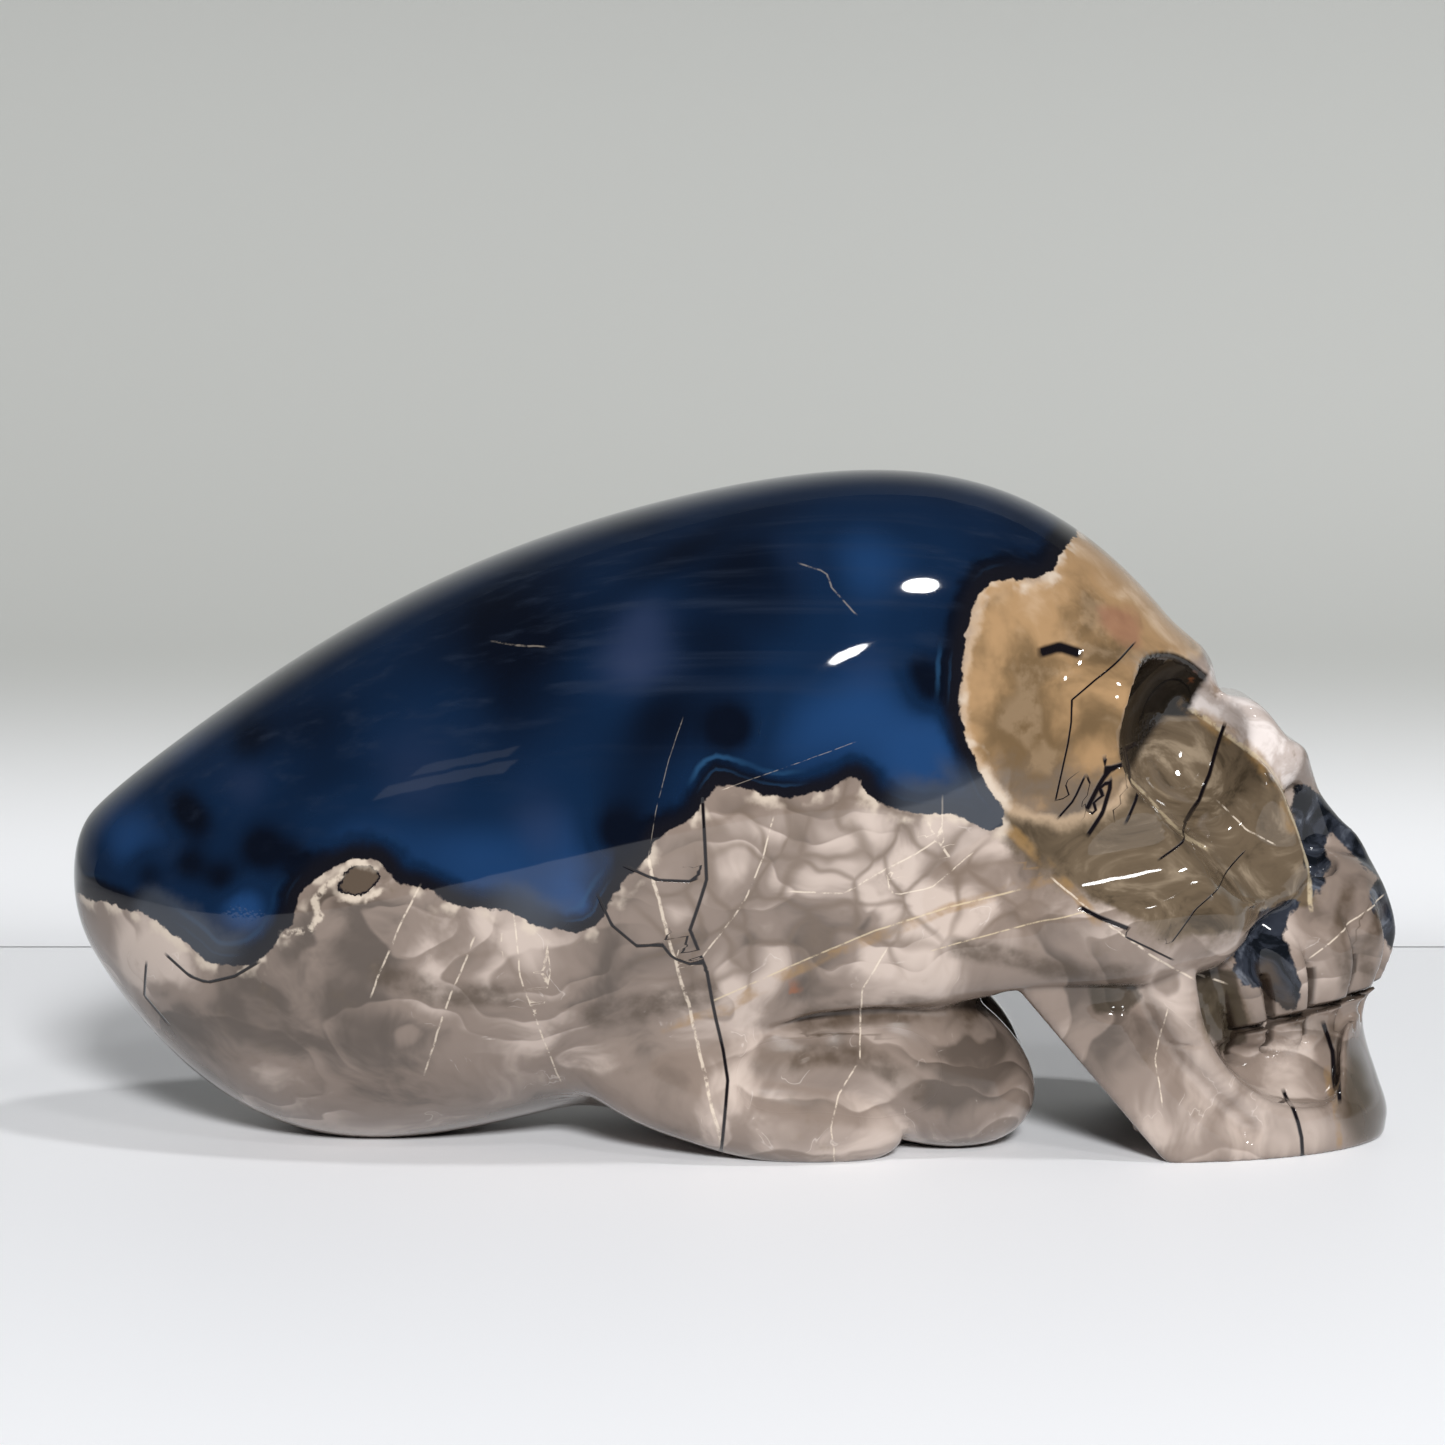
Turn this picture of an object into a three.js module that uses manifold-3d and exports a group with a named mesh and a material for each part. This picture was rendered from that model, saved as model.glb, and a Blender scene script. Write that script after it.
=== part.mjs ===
// Skull carving in banded agate, long braincase, one piece of polished stone.
// Millimetres. +X is the way the face looks, +Z is up, the table is z = 0.
// The carving is the same on both sides of the plane y = 0.
import * as THREE from 'three';
import { mergeVertices } from 'three/addons/utils/BufferGeometryUtils.js';
import Module from 'manifold-3d';

const wasm = await Module();
wasm.setup();

// Braincase: an oval whose middle height, half height and half width change
// along its length, given at seven even places from back to front.
const braincase = {
  middleX: -13, halfLength: 94,
  middleZ: [42, 37.5, 45, 54, 60, 65, 62],
  halfHeight: [34, 46.4, 47.4, 46.5, 48.5, 46, 20],
  halfWidth: [38, 44, 46, 46.5, 46, 43, 24],
  leastHalf: 5, reachPastEnds: 1.1, backX: -106.1, backBlend: 4,
};

// Rounded forms blended into the head. Each has a centre, half sizes, an
// optional tilt in degrees (nose up) and the width of the blend around it.
const ovals = {
  underside: { at: [4, 0, 28], half: [36, 33, 24], blend: 10 },
  faceBlock: { at: [55, 0, 49], half: [39, 33, 24], blend: 8 },
  templeHollow: { at: [45, 54.5, 60], half: [24, 13.5, 21], blend: 16 },
  cheekbone: { at: [61, 25.5, 37.5], half: [17, 12, 10], tilt: 8, blend: 6 },
  cheekHollow: { at: [91, 31, 48], half: [11, 13, 12], blend: 7 },
};

// Rounded bars: end points, radius at each end, blend, and flat < 1 where the
// bar is thinner across the head than it is high.
const bars = {
  brow: { from: [70.3, 0, 73.6], to: [58, 26.5, 69], radii: [4.2, 4.8], blend: 6 },
  socketRim: { from: [58, 26, 69], to: [61, 28, 48], radii: [4.6, 6], blend: 12 },
  arch: { from: [24, 29.5, 32.5], to: [60, 30, 37], radii: [8.2, 8.8], flat: 0.8, blend: 9 },
  upperJawEdge: { from: [72, 25.5, 36.5], to: [88.5, 9.5, 45], radii: [6.5, 3.5], blend: 5 },
  archRidge: { from: [50, 36.3, 40.6], to: [71.5, 33, 44.4], radii: [2, 1.6], blend: 2.5 },
};

// Nose and forehead edge, in axes turned by 45 degrees: along runs forward and
// down the face, out stands away from it.
const nose = {
  outline: [[-6, 107.2], [-2.2, 106.6], [0.6, 105.2], [3, 103.6], [7.7, 106.8], [11, 107.4],
    [16.3, 106.9], [19.6, 107.5], [23.4, 106.1], [27.4, 104.5], [32.5, 103.9], [36.8, 104],
    [41.1, 102.6], [44.5, 100.6], [50, 97]],
  halfWidth: [[-5, 7], [4, 11], [14, 13], [20, 11.5], [25, 6.5], [32, 3.2], [41, 3.5], [47, 8]],
  widerInward: 0.3, widerFrom: 4, outSlope: 0.93, sideSlope: 0.9, edgeBlend: 3.5, blend: 2,
  alongFrom: -2.5, alongTo: 47, outFrom: 90, backX: 60, endBlend: 3,
};

// Teeth block: a rounded arch seen from above, drawn in at the front and at
// the sides by an amount that changes with height. The saw cuts lean forward
// going down, and the bite line climbs to the front.
const teeth = {
  middleX: 66, halfLength: 39.6, halfWidth: 22.6, power: 2.3, slope: 0.95,
  frontInset: [[0, 1.4], [4.2, 1.2], [9, 2.7], [14.6, 4.4], [18.6, 5], [20.5, 4.4], [25, 2.2],
    [29, 0.6], [33.1, 0], [38.2, 1.2], [43, 3.4], [50, 8]],
  sideInset: [[3, -1], [6, 0.4], [10, 2.6], [14, 3.8], [17, 1.5], [22, 0.9], [29, 1], [34, 3],
    [38, 6], [42, 9.5], [50, 17]],
  backX: 60, backBlend: 4, topZ: 46, topBlend: 7, biteBlend: 0.6, blend: 2,
  blockBackX: 68, sides: 32, ringHeights: [3, 6, 9, 12, 15, 18.6, 21, 25, 29, 33, 37],
};
const bite = {
  x: 79.3, z: 18.8, slope: 0.226, gap: 0.8, depth: 2.6, inFrontOf: 76, width: 70, length: 40,
  cutWidth: 0.9, cutLean: 18, cutLength: 13, cutReach: 7.8, cutAbove: 1.6,
  cutAngles: [0, 14.5, 31, 47.5, 61, 73], coreSides: 32, coreHeight: 60,
};

// Lower jaw: side outline (x, z) cut by a rounded arch seen from above, with
// a window in each side that leaves the teeth standing further in.
const jaw = {
  side: [[66.3, -1], [104.2, -1], [104.4, 4.2], [102.9, 9], [101, 14.6], [100.3, 18.6], [97, 30],
    [90, 38], [34.5, 38], [45.5, 24.5]],
  middleX: 66, backX: 30, halfLength: 38.4, halfWidth: 31.9, power: 1.95, archPoints: 9,
  width: 90, height: 40,
  window: [[69.5, 40], [71, 26.5], [72.3, 20.8], [74.6, 16], [78, 12], [82.5, 9], [88, 7.6], [93, 7.8],
    [95.1, 11], [95.2, 18.2], [99, 20], [112, 24], [112, 40]],
  hollow: [[30, 17.5], [52, 16.5], [66, 12], [80, 6.5], [85, 0]],
  hollowTop: 20, hollowRound: 5, hollowRoundSteps: 3, hollowBackX: 43,
};

// Rounded openings, each made on both sides. A slot is a bar with round ends.
const socket = { at: [71, 24, 65.5], half: [12.5, 18, 14], sides: 20, rings: 14 };
const socketTrough = { from: [69, 29, 65], to: [80, 23.5, 54], radius: 9.5, capSteps: 5, sides: 16 };
const nostril = { from: [88.2, 8.6, 54], to: [91.6, 8.6, 44.5], radius: 3.1, capSteps: 3, sides: 12 };
const jawPit = { at: [58.5, 36, 25], half: [6, 6, 3.4], sides: 12, rings: 8 };

// Lobes under the head: one broad one in the middle and two pairs.
const shoulder = { at: [4, 0, 15.8], half: [36, 34.5, 15.5], tilt: -9, sides: 30, rings: 18 };
const frontLobe = { at: [25.6, 15, 15.3], half: [23, 17, 13.1], tilt: -25, sides: 22, rings: 14 };
const sideLobe = { at: [3, 26, 8.2], half: [23.5, 10, 8.3], tilt: -12, sides: 20, rings: 14 };

// Groove under the arch, a round bar bent through these points.
const archGroove = {
  path: [[1, 36, 17], [9, 35, 20.4], [22, 34.5, 22.2], [34, 33.5, 21], [48, 31, 19.5]],
  radius: 2.3, sides: 5, steps: 10,
};

// Head skin: a ball around this point, its points moved out to the blended
// form, with the rings closer together at both ends.
const skin = { middle: [10, 0, 52], sides: 50, rings: 36, endPinch: 0.4, step: 1.5, halvings: 18, farthest: 140 };

// Everything under the table is cut off by a slab of this size.
const table = { length: 300, width: 200, depth: 40 };

// Keeps a length that is divided by from being nothing.
const tiny = 1e-6;

const stone = { color: 0x7d746d, roughness: 0.06, metalness: 0 };

// Blends

const blendMin = (a, b, width) => {
  const h = Math.max(width - Math.abs(a - b), 0) / width;
  return Math.min(a, b) - h * h * width * 0.25;
};
const blendMax = (a, b, width) => -blendMin(-a, -b, width);
const blendCut = (a, cutter, width) => blendMax(a, -cutter, width);

// Cubic curve through stations [place, value].
function through(place, stations) {
  const last = stations.length - 1;
  const v = Math.min(Math.max(place, stations[0][0]), stations[last][0]);
  let i = 0;
  while (i < last - 1 && v > stations[i + 1][0]) i += 1;
  const slope = (k) => {
    const a = stations[Math.max(k - 1, 0)];
    const b = stations[Math.min(k + 1, last)];
    return (b[1] - a[1]) / (b[0] - a[0]);
  };
  const [x0, y0] = stations[i];
  const [x1, y1] = stations[i + 1];
  const w = x1 - x0;
  const t = (v - x0) / w;
  return y0 * (1 + 2 * t) * (1 - t) ** 2 + w * slope(i) * t * (1 - t) ** 2
    + y1 * t * t * (3 - 2 * t) + w * slope(i + 1) * t * t * (t - 1);
}

// Polynomial through values at even places from -1 to 1.
function evenThrough(u, values) {
  const place = (i) => -1 + 2 * i / (values.length - 1);
  return values.reduce((sum, value, i) => sum + values.reduce(
    (w, _, j) => (i === j ? w : w * (u - place(j)) / (place(i) - place(j))), value), 0);
}

// Distance to an oval, positive outside.
function ovalDistance(x, y, z, { at, half, tilt = 0 }) {
  const a = THREE.MathUtils.degToRad(tilt);
  const dx = x - at[0];
  const dz = z - at[2];
  const p = new THREE.Vector3(dx * Math.cos(a) + dz * Math.sin(a), y - at[1], dz * Math.cos(a) - dx * Math.sin(a));
  const size = new THREE.Vector3(...half);
  const near = p.clone().divide(size).length() + tiny;
  const steep = p.clone().divide(size).divide(size).length() + tiny;
  return near * (near - 1) / steep;
}

// Distance to a bar with rounded ends.
function barDistance(x, y, z, { from, to, radii, flat = 1 }) {
  const a = new THREE.Vector3(...from);
  const along = new THREE.Vector3(...to).sub(a);
  const p = new THREE.Vector3(x, y, z).sub(a);
  const t = THREE.MathUtils.clamp(p.dot(along) / along.lengthSq(), 0, 1);
  p.addScaledVector(along, -t);
  p.y /= flat;
  return (p.length() - THREE.MathUtils.lerp(radii[0], radii[1], t)) * flat;
}

function braincaseDistance(x, y, z) {
  const { middleX, halfLength, reachPastEnds, leastHalf, backX, backBlend } = braincase;
  const u = (x - middleX) / halfLength;
  const place = THREE.MathUtils.clamp(u, -reachPastEnds, reachPastEnds);
  const h = Math.max(evenThrough(place, braincase.halfHeight), leastHalf);
  const w = Math.max(evenThrough(place, braincase.halfWidth), leastHalf);
  const dz = z - evenThrough(place, braincase.middleZ);
  const near = Math.hypot(u, y / w, dz / h) + tiny;
  const steep = Math.hypot(u / halfLength, y / w ** 2, dz / h ** 2) + tiny;
  return blendMax(near * (near - 1) / steep, backX - x, backBlend);
}

// Distance to the nose: under its outline, and narrower than its half width.
function noseDistance(x, y, z) {
  const along = (x - z) * Math.SQRT1_2;
  const out = (x + z) * Math.SQRT1_2;
  const below = through(along, nose.outline) - out;
  const halfWidth = through(along, nose.halfWidth) + nose.widerInward * Math.max(below - nose.widerFrom, 0);
  let d = blendMax(-below * nose.outSlope, (y - halfWidth) * nose.sideSlope, nose.edgeBlend);
  d = blendMax(d, nose.backX - x, nose.endBlend);
  d = blendMax(d, along - nose.alongTo, nose.endBlend);
  d = blendMax(d, nose.alongFrom - along, nose.endBlend);
  return blendMax(d, nose.outFrom - out, nose.endBlend);
}

const biteHeight = (x) => bite.z + (x - bite.x) * bite.slope;

// Distance to the upper half of the teeth block. sideways is 0 at the front
// of the arch and 1 at its side.
function upperTeethDistance(x, y, z) {
  const { middleX, halfLength, halfWidth, power } = teeth;
  const ax = Math.abs(x - middleX) / halfLength;
  const ay = Math.abs(y) / halfWidth;
  const ring = (ax ** power + ay ** power + tiny) ** (1 / power);
  const steep = Math.hypot(ax ** (power - 1) / halfLength, ay ** (power - 1) / halfWidth, tiny) * ring ** (1 - power);
  const sideways = (ay / ring) ** power;
  const inset = THREE.MathUtils.lerp(through(z, teeth.frontInset), through(z, teeth.sideInset), sideways);
  let d = ((ring - 1) / steep + inset) * teeth.slope;
  d = blendMax(d, biteHeight(x) - z, teeth.biteBlend);
  d = blendMax(d, z - teeth.topZ, teeth.topBlend);
  return blendMax(d, teeth.backX - x, teeth.backBlend);
}

// The head without its lower jaw, lobes and openings.
function headDistance(x, side, z) {
  const y = Math.abs(side);
  const oval = (name) => ovalDistance(x, y, z, ovals[name]);
  const bar = (name) => barDistance(x, y, z, bars[name]);
  let d = braincaseDistance(x, y, z);
  d = blendMin(d, oval('underside'), ovals.underside.blend);
  d = blendMin(d, oval('faceBlock'), ovals.faceBlock.blend);
  d = blendCut(d, oval('templeHollow'), ovals.templeHollow.blend);
  d = blendMin(d, bar('brow'), bars.brow.blend);
  d = blendMin(d, bar('socketRim'), bars.socketRim.blend);
  d = blendMin(d, bar('arch'), bars.arch.blend);
  const cheek = blendMin(oval('cheekbone'), bar('upperJawEdge'), ovals.cheekbone.blend);
  d = blendMin(d, cheek, bars.upperJawEdge.blend);
  d = blendMin(d, bar('archRidge'), bars.archRidge.blend);
  d = blendMin(d, noseDistance(x, y, z), nose.blend);
  d = blendCut(d, oval('cheekHollow'), ovals.cheekHollow.blend);
  return blendMin(d, upperTeethDistance(x, y, z), teeth.blend);
}

// Solids

// Closed geometry to solid: only the positions are kept, shared ones merged.
function solid(geometry) {
  geometry.deleteAttribute('normal');
  geometry.deleteAttribute('uv');
  const merged = mergeVertices(geometry, 1e-4);
  const triVerts = Uint32Array.from(merged.index.array);
  const kept = [];
  for (let i = 0; i < triVerts.length; i += 3) {
    const [a, b, c] = triVerts.subarray(i, i + 3);
    if (a !== b && b !== c && c !== a) kept.push(a, b, c);
  }
  return new wasm.Manifold(new wasm.Mesh({
    numProp: 3,
    vertProperties: Float32Array.from(merged.attributes.position.array),
    triVerts: Uint32Array.from(kept),
  }));
}

// Moves each point of a geometry by a function from Vector3 to Vector3.
function movePoints(geometry, move) {
  const points = geometry.attributes.position;
  const p = new THREE.Vector3();
  for (let i = 0; i < points.count; i += 1) {
    p.fromBufferAttribute(points, i);
    move(p);
    points.setXYZ(i, p.x, p.y, p.z);
  }
  return geometry;
}

// An oval solid, mirrored to the other side when side is -1.
function ovalSolid({ at, half, tilt = 0, sides, rings }, side = 1) {
  const geometry = new THREE.SphereGeometry(1, sides, rings);
  geometry.rotateX(Math.PI / 2);
  geometry.scale(...half);
  geometry.rotateY(-THREE.MathUtils.degToRad(tilt));
  geometry.translate(at[0], at[1] * side, at[2]);
  return solid(geometry);
}

// A slot: a capsule laid from one point to another.
function slotSolid({ from, to, radius, capSteps, sides }, side = 1) {
  const a = new THREE.Vector3(from[0], from[1] * side, from[2]);
  const b = new THREE.Vector3(to[0], to[1] * side, to[2]);
  const along = b.clone().sub(a);
  const geometry = new THREE.CapsuleGeometry(radius, along.length(), capSteps, sides);
  geometry.applyQuaternion(new THREE.Quaternion().setFromUnitVectors(new THREE.Vector3(0, 1, 0), along.normalize()));
  geometry.translate(...a.add(b).divideScalar(2).toArray());
  return solid(geometry);
}

// Outline (x, z) carried across the body, half the width to each side.
function acrossSolid(points, width) {
  const shape = new THREE.Shape(points.map(([x, z]) => new THREE.Vector2(x, z)));
  const geometry = new THREE.ExtrudeGeometry(shape, { depth: width, bevelEnabled: false });
  geometry.rotateX(Math.PI / 2);
  geometry.translate(0, width / 2, 0);
  return solid(geometry);
}

// Half outline (x, y) mirrored and carried up from z = low.
function uprightSolid(half, low, options) {
  const far = half.filter(([, y]) => y > 0).reverse().map(([x, y]) => [x, -y]);
  const shape = new THREE.Shape([...half, ...far].map(([x, y]) => new THREE.Vector2(x, y)).reverse());
  const geometry = new THREE.ExtrudeGeometry(shape, options);
  geometry.translate(0, 0, low);
  return solid(geometry);
}

function boxSolid(size, at) {
  const geometry = new THREE.BoxGeometry(...size);
  geometry.translate(...at);
  return solid(geometry);
}

// Ball whose points stand where the rays from its middle leave the head.
function headSolid() {
  const geometry = new THREE.SphereGeometry(1, skin.sides, skin.rings);
  geometry.rotateZ(-Math.PI / 2);
  const [mx, my, mz] = skin.middle;
  movePoints(geometry, (p) => {
    const share = Math.acos(THREE.MathUtils.clamp(p.x, -1, 1)) / Math.PI;
    const turn = Math.atan2(p.z, p.y);
    const polar = Math.PI * share - (skin.endPinch / 2) * Math.sin(2 * Math.PI * share);
    const ring = share > 1 - tiny ? 0 : Math.sin(polar);
    p.set(Math.cos(polar), ring * Math.cos(turn), ring * Math.sin(turn));
    const at = (t) => headDistance(mx + p.x * t, my + p.y * t, mz + p.z * t);
    let far = skin.step;
    while (far < skin.farthest && at(far) < 0) far += skin.step;
    let near = far - skin.step;
    for (let i = 0; i < skin.halvings; i += 1) {
      const half = (near + far) / 2;
      if (at(half) < 0) near = half; else far = half;
    }
    p.multiplyScalar(near).add(new THREE.Vector3(mx, my, mz));
  });
  return solid(geometry);
}

// Point of a rounded arch in the direction of a unit vector (cosine, sine).
function archPoint({ middleX, halfLength, halfWidth, power }, cosine, sine, frontInset = 0, sideInset = frontInset) {
  const bent = (v) => Math.sign(v) * Math.abs(v) ** (2 / power);
  return [middleX + (halfLength - frontInset) * bent(cosine), (halfWidth - sideInset) * bent(sine)];
}

// Teeth block: rings of the rounded arch, one above another, without its back.
function teethSolid() {
  const { ringHeights, blockBackX } = teeth;
  const rims = ringHeights.map((z) => new THREE.Vector2(1, z));
  const profile = [new THREE.Vector2(0, ringHeights[0]), ...rims, new THREE.Vector2(0, ringHeights.at(-1))];
  const geometry = new THREE.LatheGeometry(profile, teeth.sides);
  geometry.rotateX(Math.PI / 2);
  movePoints(geometry, (p) => {
    const front = through(p.z, teeth.frontInset);
    p.set(...archPoint(teeth, p.x, p.y, front, through(p.z, teeth.sideInset)), p.z);
  });
  const kept = boxSolid([jaw.width, jaw.width, jaw.width], [blockBackX + jaw.width / 2, 0, 0]);
  return solid(geometry).intersect(kept);
}

// Thin cuts: one along the bite and one between each two teeth. They stop at
// a smaller arch, which is left whole behind them.
function toothCuts() {
  const gap = new THREE.BoxGeometry(bite.length, bite.width, bite.gap);
  gap.rotateY(-Math.atan(bite.slope));
  const gapX = bite.inFrontOf + bite.length / 2;
  gap.translate(gapX, 0, biteHeight(gapX));
  let cuts = solid(gap);
  const angles = bite.cutAngles.flatMap((angle) => (angle > 0 ? [angle, -angle] : [angle]));
  for (const angle of angles) {
    const a = THREE.MathUtils.degToRad(angle);
    const [x, y] = archPoint(teeth, Math.cos(a), Math.sin(a), bite.depth);
    const cut = new THREE.BoxGeometry(bite.cutReach * 2, bite.cutWidth, bite.cutLength);
    cut.rotateX(THREE.MathUtils.degToRad(bite.cutLean) * Math.sin(a));
    cut.rotateZ(Math.atan2(Math.sin(a) * teeth.halfLength, Math.cos(a) * teeth.halfWidth));
    cut.translate(x, y, biteHeight(x) + bite.cutAbove);
    cuts = cuts.add(solid(cut));
  }
  const core = new THREE.CylinderGeometry(1, 1, bite.coreHeight, bite.coreSides);
  core.rotateX(Math.PI / 2);
  const inset = bite.depth * 2;
  movePoints(core, (p) => p.set(...archPoint(teeth, p.x, p.y, inset), p.z + bite.z));
  return cuts.subtract(solid(core));
}

// Half outline of the jaw from above, from its straight back to the chin.
function jawPlan() {
  const points = [[jaw.backX, jaw.halfWidth]];
  for (let i = 0; i <= jaw.archPoints; i += 1) {
    const a = (Math.PI / 2) * (1 - i / jaw.archPoints);
    points.push(archPoint(jaw, Math.cos(a), i === jaw.archPoints ? 0 : Math.sin(a)));
  }
  return points;
}

function lowerJawSolid() {
  const upright = uprightSolid(jawPlan(), -1, { depth: jaw.height, bevelEnabled: false });
  return acrossSolid(jaw.side, jaw.width)
    .intersect(upright)
    .subtract(acrossSolid(jaw.window, jaw.width))
    .add(teethSolid());
}

// The hollow between the two sides of the jaw, rounded where it ends.
function jawHollow() {
  const { hollowTop, hollowRound, hollowBackX, height, width } = jaw;
  const hollow = uprightSolid(jaw.hollow, -height, {
    depth: hollowTop + height, bevelThickness: hollowRound, bevelSize: hollowRound,
    bevelSegments: jaw.hollowRoundSteps,
  });
  return hollow.intersect(boxSolid([width, width, width], [hollowBackX + width / 2, 0, 0]));
}

function archGrooveSolid(side) {
  const path = new THREE.CatmullRomCurve3(archGroove.path.map(([x, y, z]) => new THREE.Vector3(x, y * side, z)));
  const round = new THREE.Shape().absarc(0, 0, archGroove.radius, 0, Math.PI * 2);
  const geometry = new THREE.ExtrudeGeometry(round, {
    steps: archGroove.steps, curveSegments: archGroove.sides, extrudePath: path,
  });
  return solid(geometry);
}

function skullSolid() {
  let skull = headSolid().add(lowerJawSolid()).subtract(jawHollow()).add(ovalSolid(shoulder));
  for (const side of [1, -1]) {
    skull = skull.add(ovalSolid(frontLobe, side)).add(ovalSolid(sideLobe, side));
    skull = skull.subtract(archGrooveSolid(side)).subtract(ovalSolid(jawPit, side));
    skull = skull.subtract(ovalSolid(socket, side)).subtract(slotSolid(socketTrough, side));
    skull = skull.subtract(slotSolid(nostril, side));
  }
  const under = boxSolid([table.length, table.width, table.depth], [0, 0, -table.depth / 2]);
  return skull.subtract(toothCuts()).subtract(under);
}

function geometryOf(manifold) {
  const { numProp, vertProperties, triVerts } = manifold.getMesh();
  const positions = new Float32Array((vertProperties.length / numProp) * 3);
  for (let i = 0; i < positions.length / 3; i += 1) {
    positions.set(vertProperties.subarray(i * numProp, i * numProp + 3), i * 3);
  }
  const geometry = new THREE.BufferGeometry();
  geometry.setAttribute('position', new THREE.BufferAttribute(positions, 3));
  geometry.setIndex(new THREE.BufferAttribute(Uint32Array.from(triVerts), 1));
  geometry.computeVertexNormals();
  return geometry;
}

const skullMesh = new THREE.Mesh(geometryOf(skullSolid()), new THREE.MeshStandardMaterial(stone));
skullMesh.name = 'skull';

const group = new THREE.Group();
group.add(skullMesh);

export default group;
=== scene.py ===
# Skull carving in banded agate, polished all over, resting on a pale table.
import math
import bpy
import numpy as np
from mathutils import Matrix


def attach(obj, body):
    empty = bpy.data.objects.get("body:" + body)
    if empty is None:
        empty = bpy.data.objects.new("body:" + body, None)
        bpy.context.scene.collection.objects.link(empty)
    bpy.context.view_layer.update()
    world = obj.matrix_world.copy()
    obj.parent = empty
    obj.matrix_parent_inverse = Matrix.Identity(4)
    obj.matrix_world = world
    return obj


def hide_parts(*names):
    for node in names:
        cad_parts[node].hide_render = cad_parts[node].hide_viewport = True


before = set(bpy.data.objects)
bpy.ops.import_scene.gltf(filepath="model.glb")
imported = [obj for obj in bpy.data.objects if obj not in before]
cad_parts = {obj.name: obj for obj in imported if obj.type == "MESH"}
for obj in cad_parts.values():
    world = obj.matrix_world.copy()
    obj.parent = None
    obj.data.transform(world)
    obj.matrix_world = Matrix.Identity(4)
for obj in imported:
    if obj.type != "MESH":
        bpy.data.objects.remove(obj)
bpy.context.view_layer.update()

millimetre = 0.001  # all sizes below are in millimetres, the scene is in metres
tiny = 1e-6
farAway = 1e9

# The forms of the carving. +X is the way the face looks, +Z is up, and both sides are alike.
braincase = {
    "middleX": -13, "halfLength": 94,  # seven even places from back to front
    "middleZ": [42, 37.5, 45, 54, 60, 65, 62],
    "halfHeight": [34, 46.4, 47.4, 46.5, 48.5, 46, 20],
    "halfWidth": [38, 44, 46, 46.5, 46, 43, 24],
    "leastHalf": 5, "reachPastEnds": 1.1, "backX": -106.1, "backBlend": 4,
}
ovals = {  # centre, half sizes, tilt in degrees, blend width,
    # and softer: how much wider the blend grows, from where to where
    "underside": {"at": (4, 0, 28), "half": (36, 33, 24), "blend": 10},
    "faceBlock": {"at": (55, 0, 49), "half": (39, 33, 24), "blend": 8},
    "templeHollow": {"at": (45, 54.5, 60), "half": (24, 13.5, 21), "blend": 16},
    "cheekbone": {"at": (61, 25.5, 37.5), "half": (17, 12, 10), "tilt": 8, "blend": 6},
    "cheekHollow": {"at": (91, 31, 48), "half": (11, 13, 12), "blend": 7},
    "socket": {"at": (71, 24, 65.5), "half": (12.5, 18, 14), "blend": 5},
    "core": {"at": (62, 0, 50), "half": (28, 15, 17), "blend": 2},
    "jawPit": {"at": (58.5, 36, 25), "half": (4.6, 5.4, 2.8), "blend": 1.2},
    "shoulder": {"at": (4, 0, 15.8), "half": (36, 34.5, 15.5), "tilt": -9, "blend": 1.5,
                 "softer": (5, 2, -12)},
    "frontLobe": {"at": (25.6, 15, 15.3), "half": (23, 17, 13.1), "tilt": -25, "blend": 3},
    "sideLobe": {"at": (3, 26, 8.2), "half": (23.5, 10, 8.3), "tilt": -12, "blend": 1,
                 "softer": (8, 10, -20)},
}
bars = {  # rounded bars: ends, radii, flat < 1 is thinner across
    "brow": {"start": (70.3, 0, 73.6), "end": (58, 26.5, 69), "radii": (4.2, 4.8), "blend": 6},
    "socketRim": {"start": (58, 26, 69), "end": (61, 28, 48), "radii": (4.6, 6), "blend": 12},
    "arch": {"start": (24, 29.5, 32.5), "end": (60, 30, 37), "radii": (8.2, 8.8), "flat": 0.8, "blend": 9},
    "upperJawEdge": {"start": (72, 25.5, 36.5), "end": (88.5, 9.5, 45), "radii": (6.5, 3.5), "blend": 5},
    "archRidge": {"start": (50, 36.6, 38.2), "end": (71.5, 33, 43), "radii": (2, 1.6), "blend": 2},
    "trough": {"start": (69, 29, 65), "end": (81, 28.5, 53), "radii": (10.5, 8.5), "blend": 1,
               "softer": (6, 56, 46)},
    "nostril": {"start": (88.2, 8.6, 54), "end": (91.6, 8.6, 44.5), "radii": (2.4, 3.8), "blend": 1},
    "archValley": {"start": (43, 46, 45.6), "end": (73, 40.6, 50.6), "radii": (9, 8.8), "blend": 0.8},
}
nose = {  # outline in axes turned 45 degrees: along, out
    "outline": [(-6, 107.2), (-2.2, 106.6), (0.6, 105.2), (3, 103.6), (7.7, 106.8), (11, 107.4),
        (16.3, 106.9), (19.6, 107.5), (23.4, 106.1), (27.4, 104.5), (32.5, 103.9), (36.8, 104),
        (41.1, 102.6), (44.5, 100.6), (50, 97)],
    "halfWidth": [(-5, 7), (4, 11), (14, 13), (20, 11.5), (25, 6.5), (32, 3.2), (41, 3.5), (47, 8)],
    "widerInward": 0.3, "widerFrom": 4, "outSlope": 0.93, "sideSlope": 0.9,
    "alongFrom": -2.5, "alongTo": 47, "outFrom": 90, "backX": 60, "edgeBlend": 3.5, "blend": 2,
}
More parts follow.
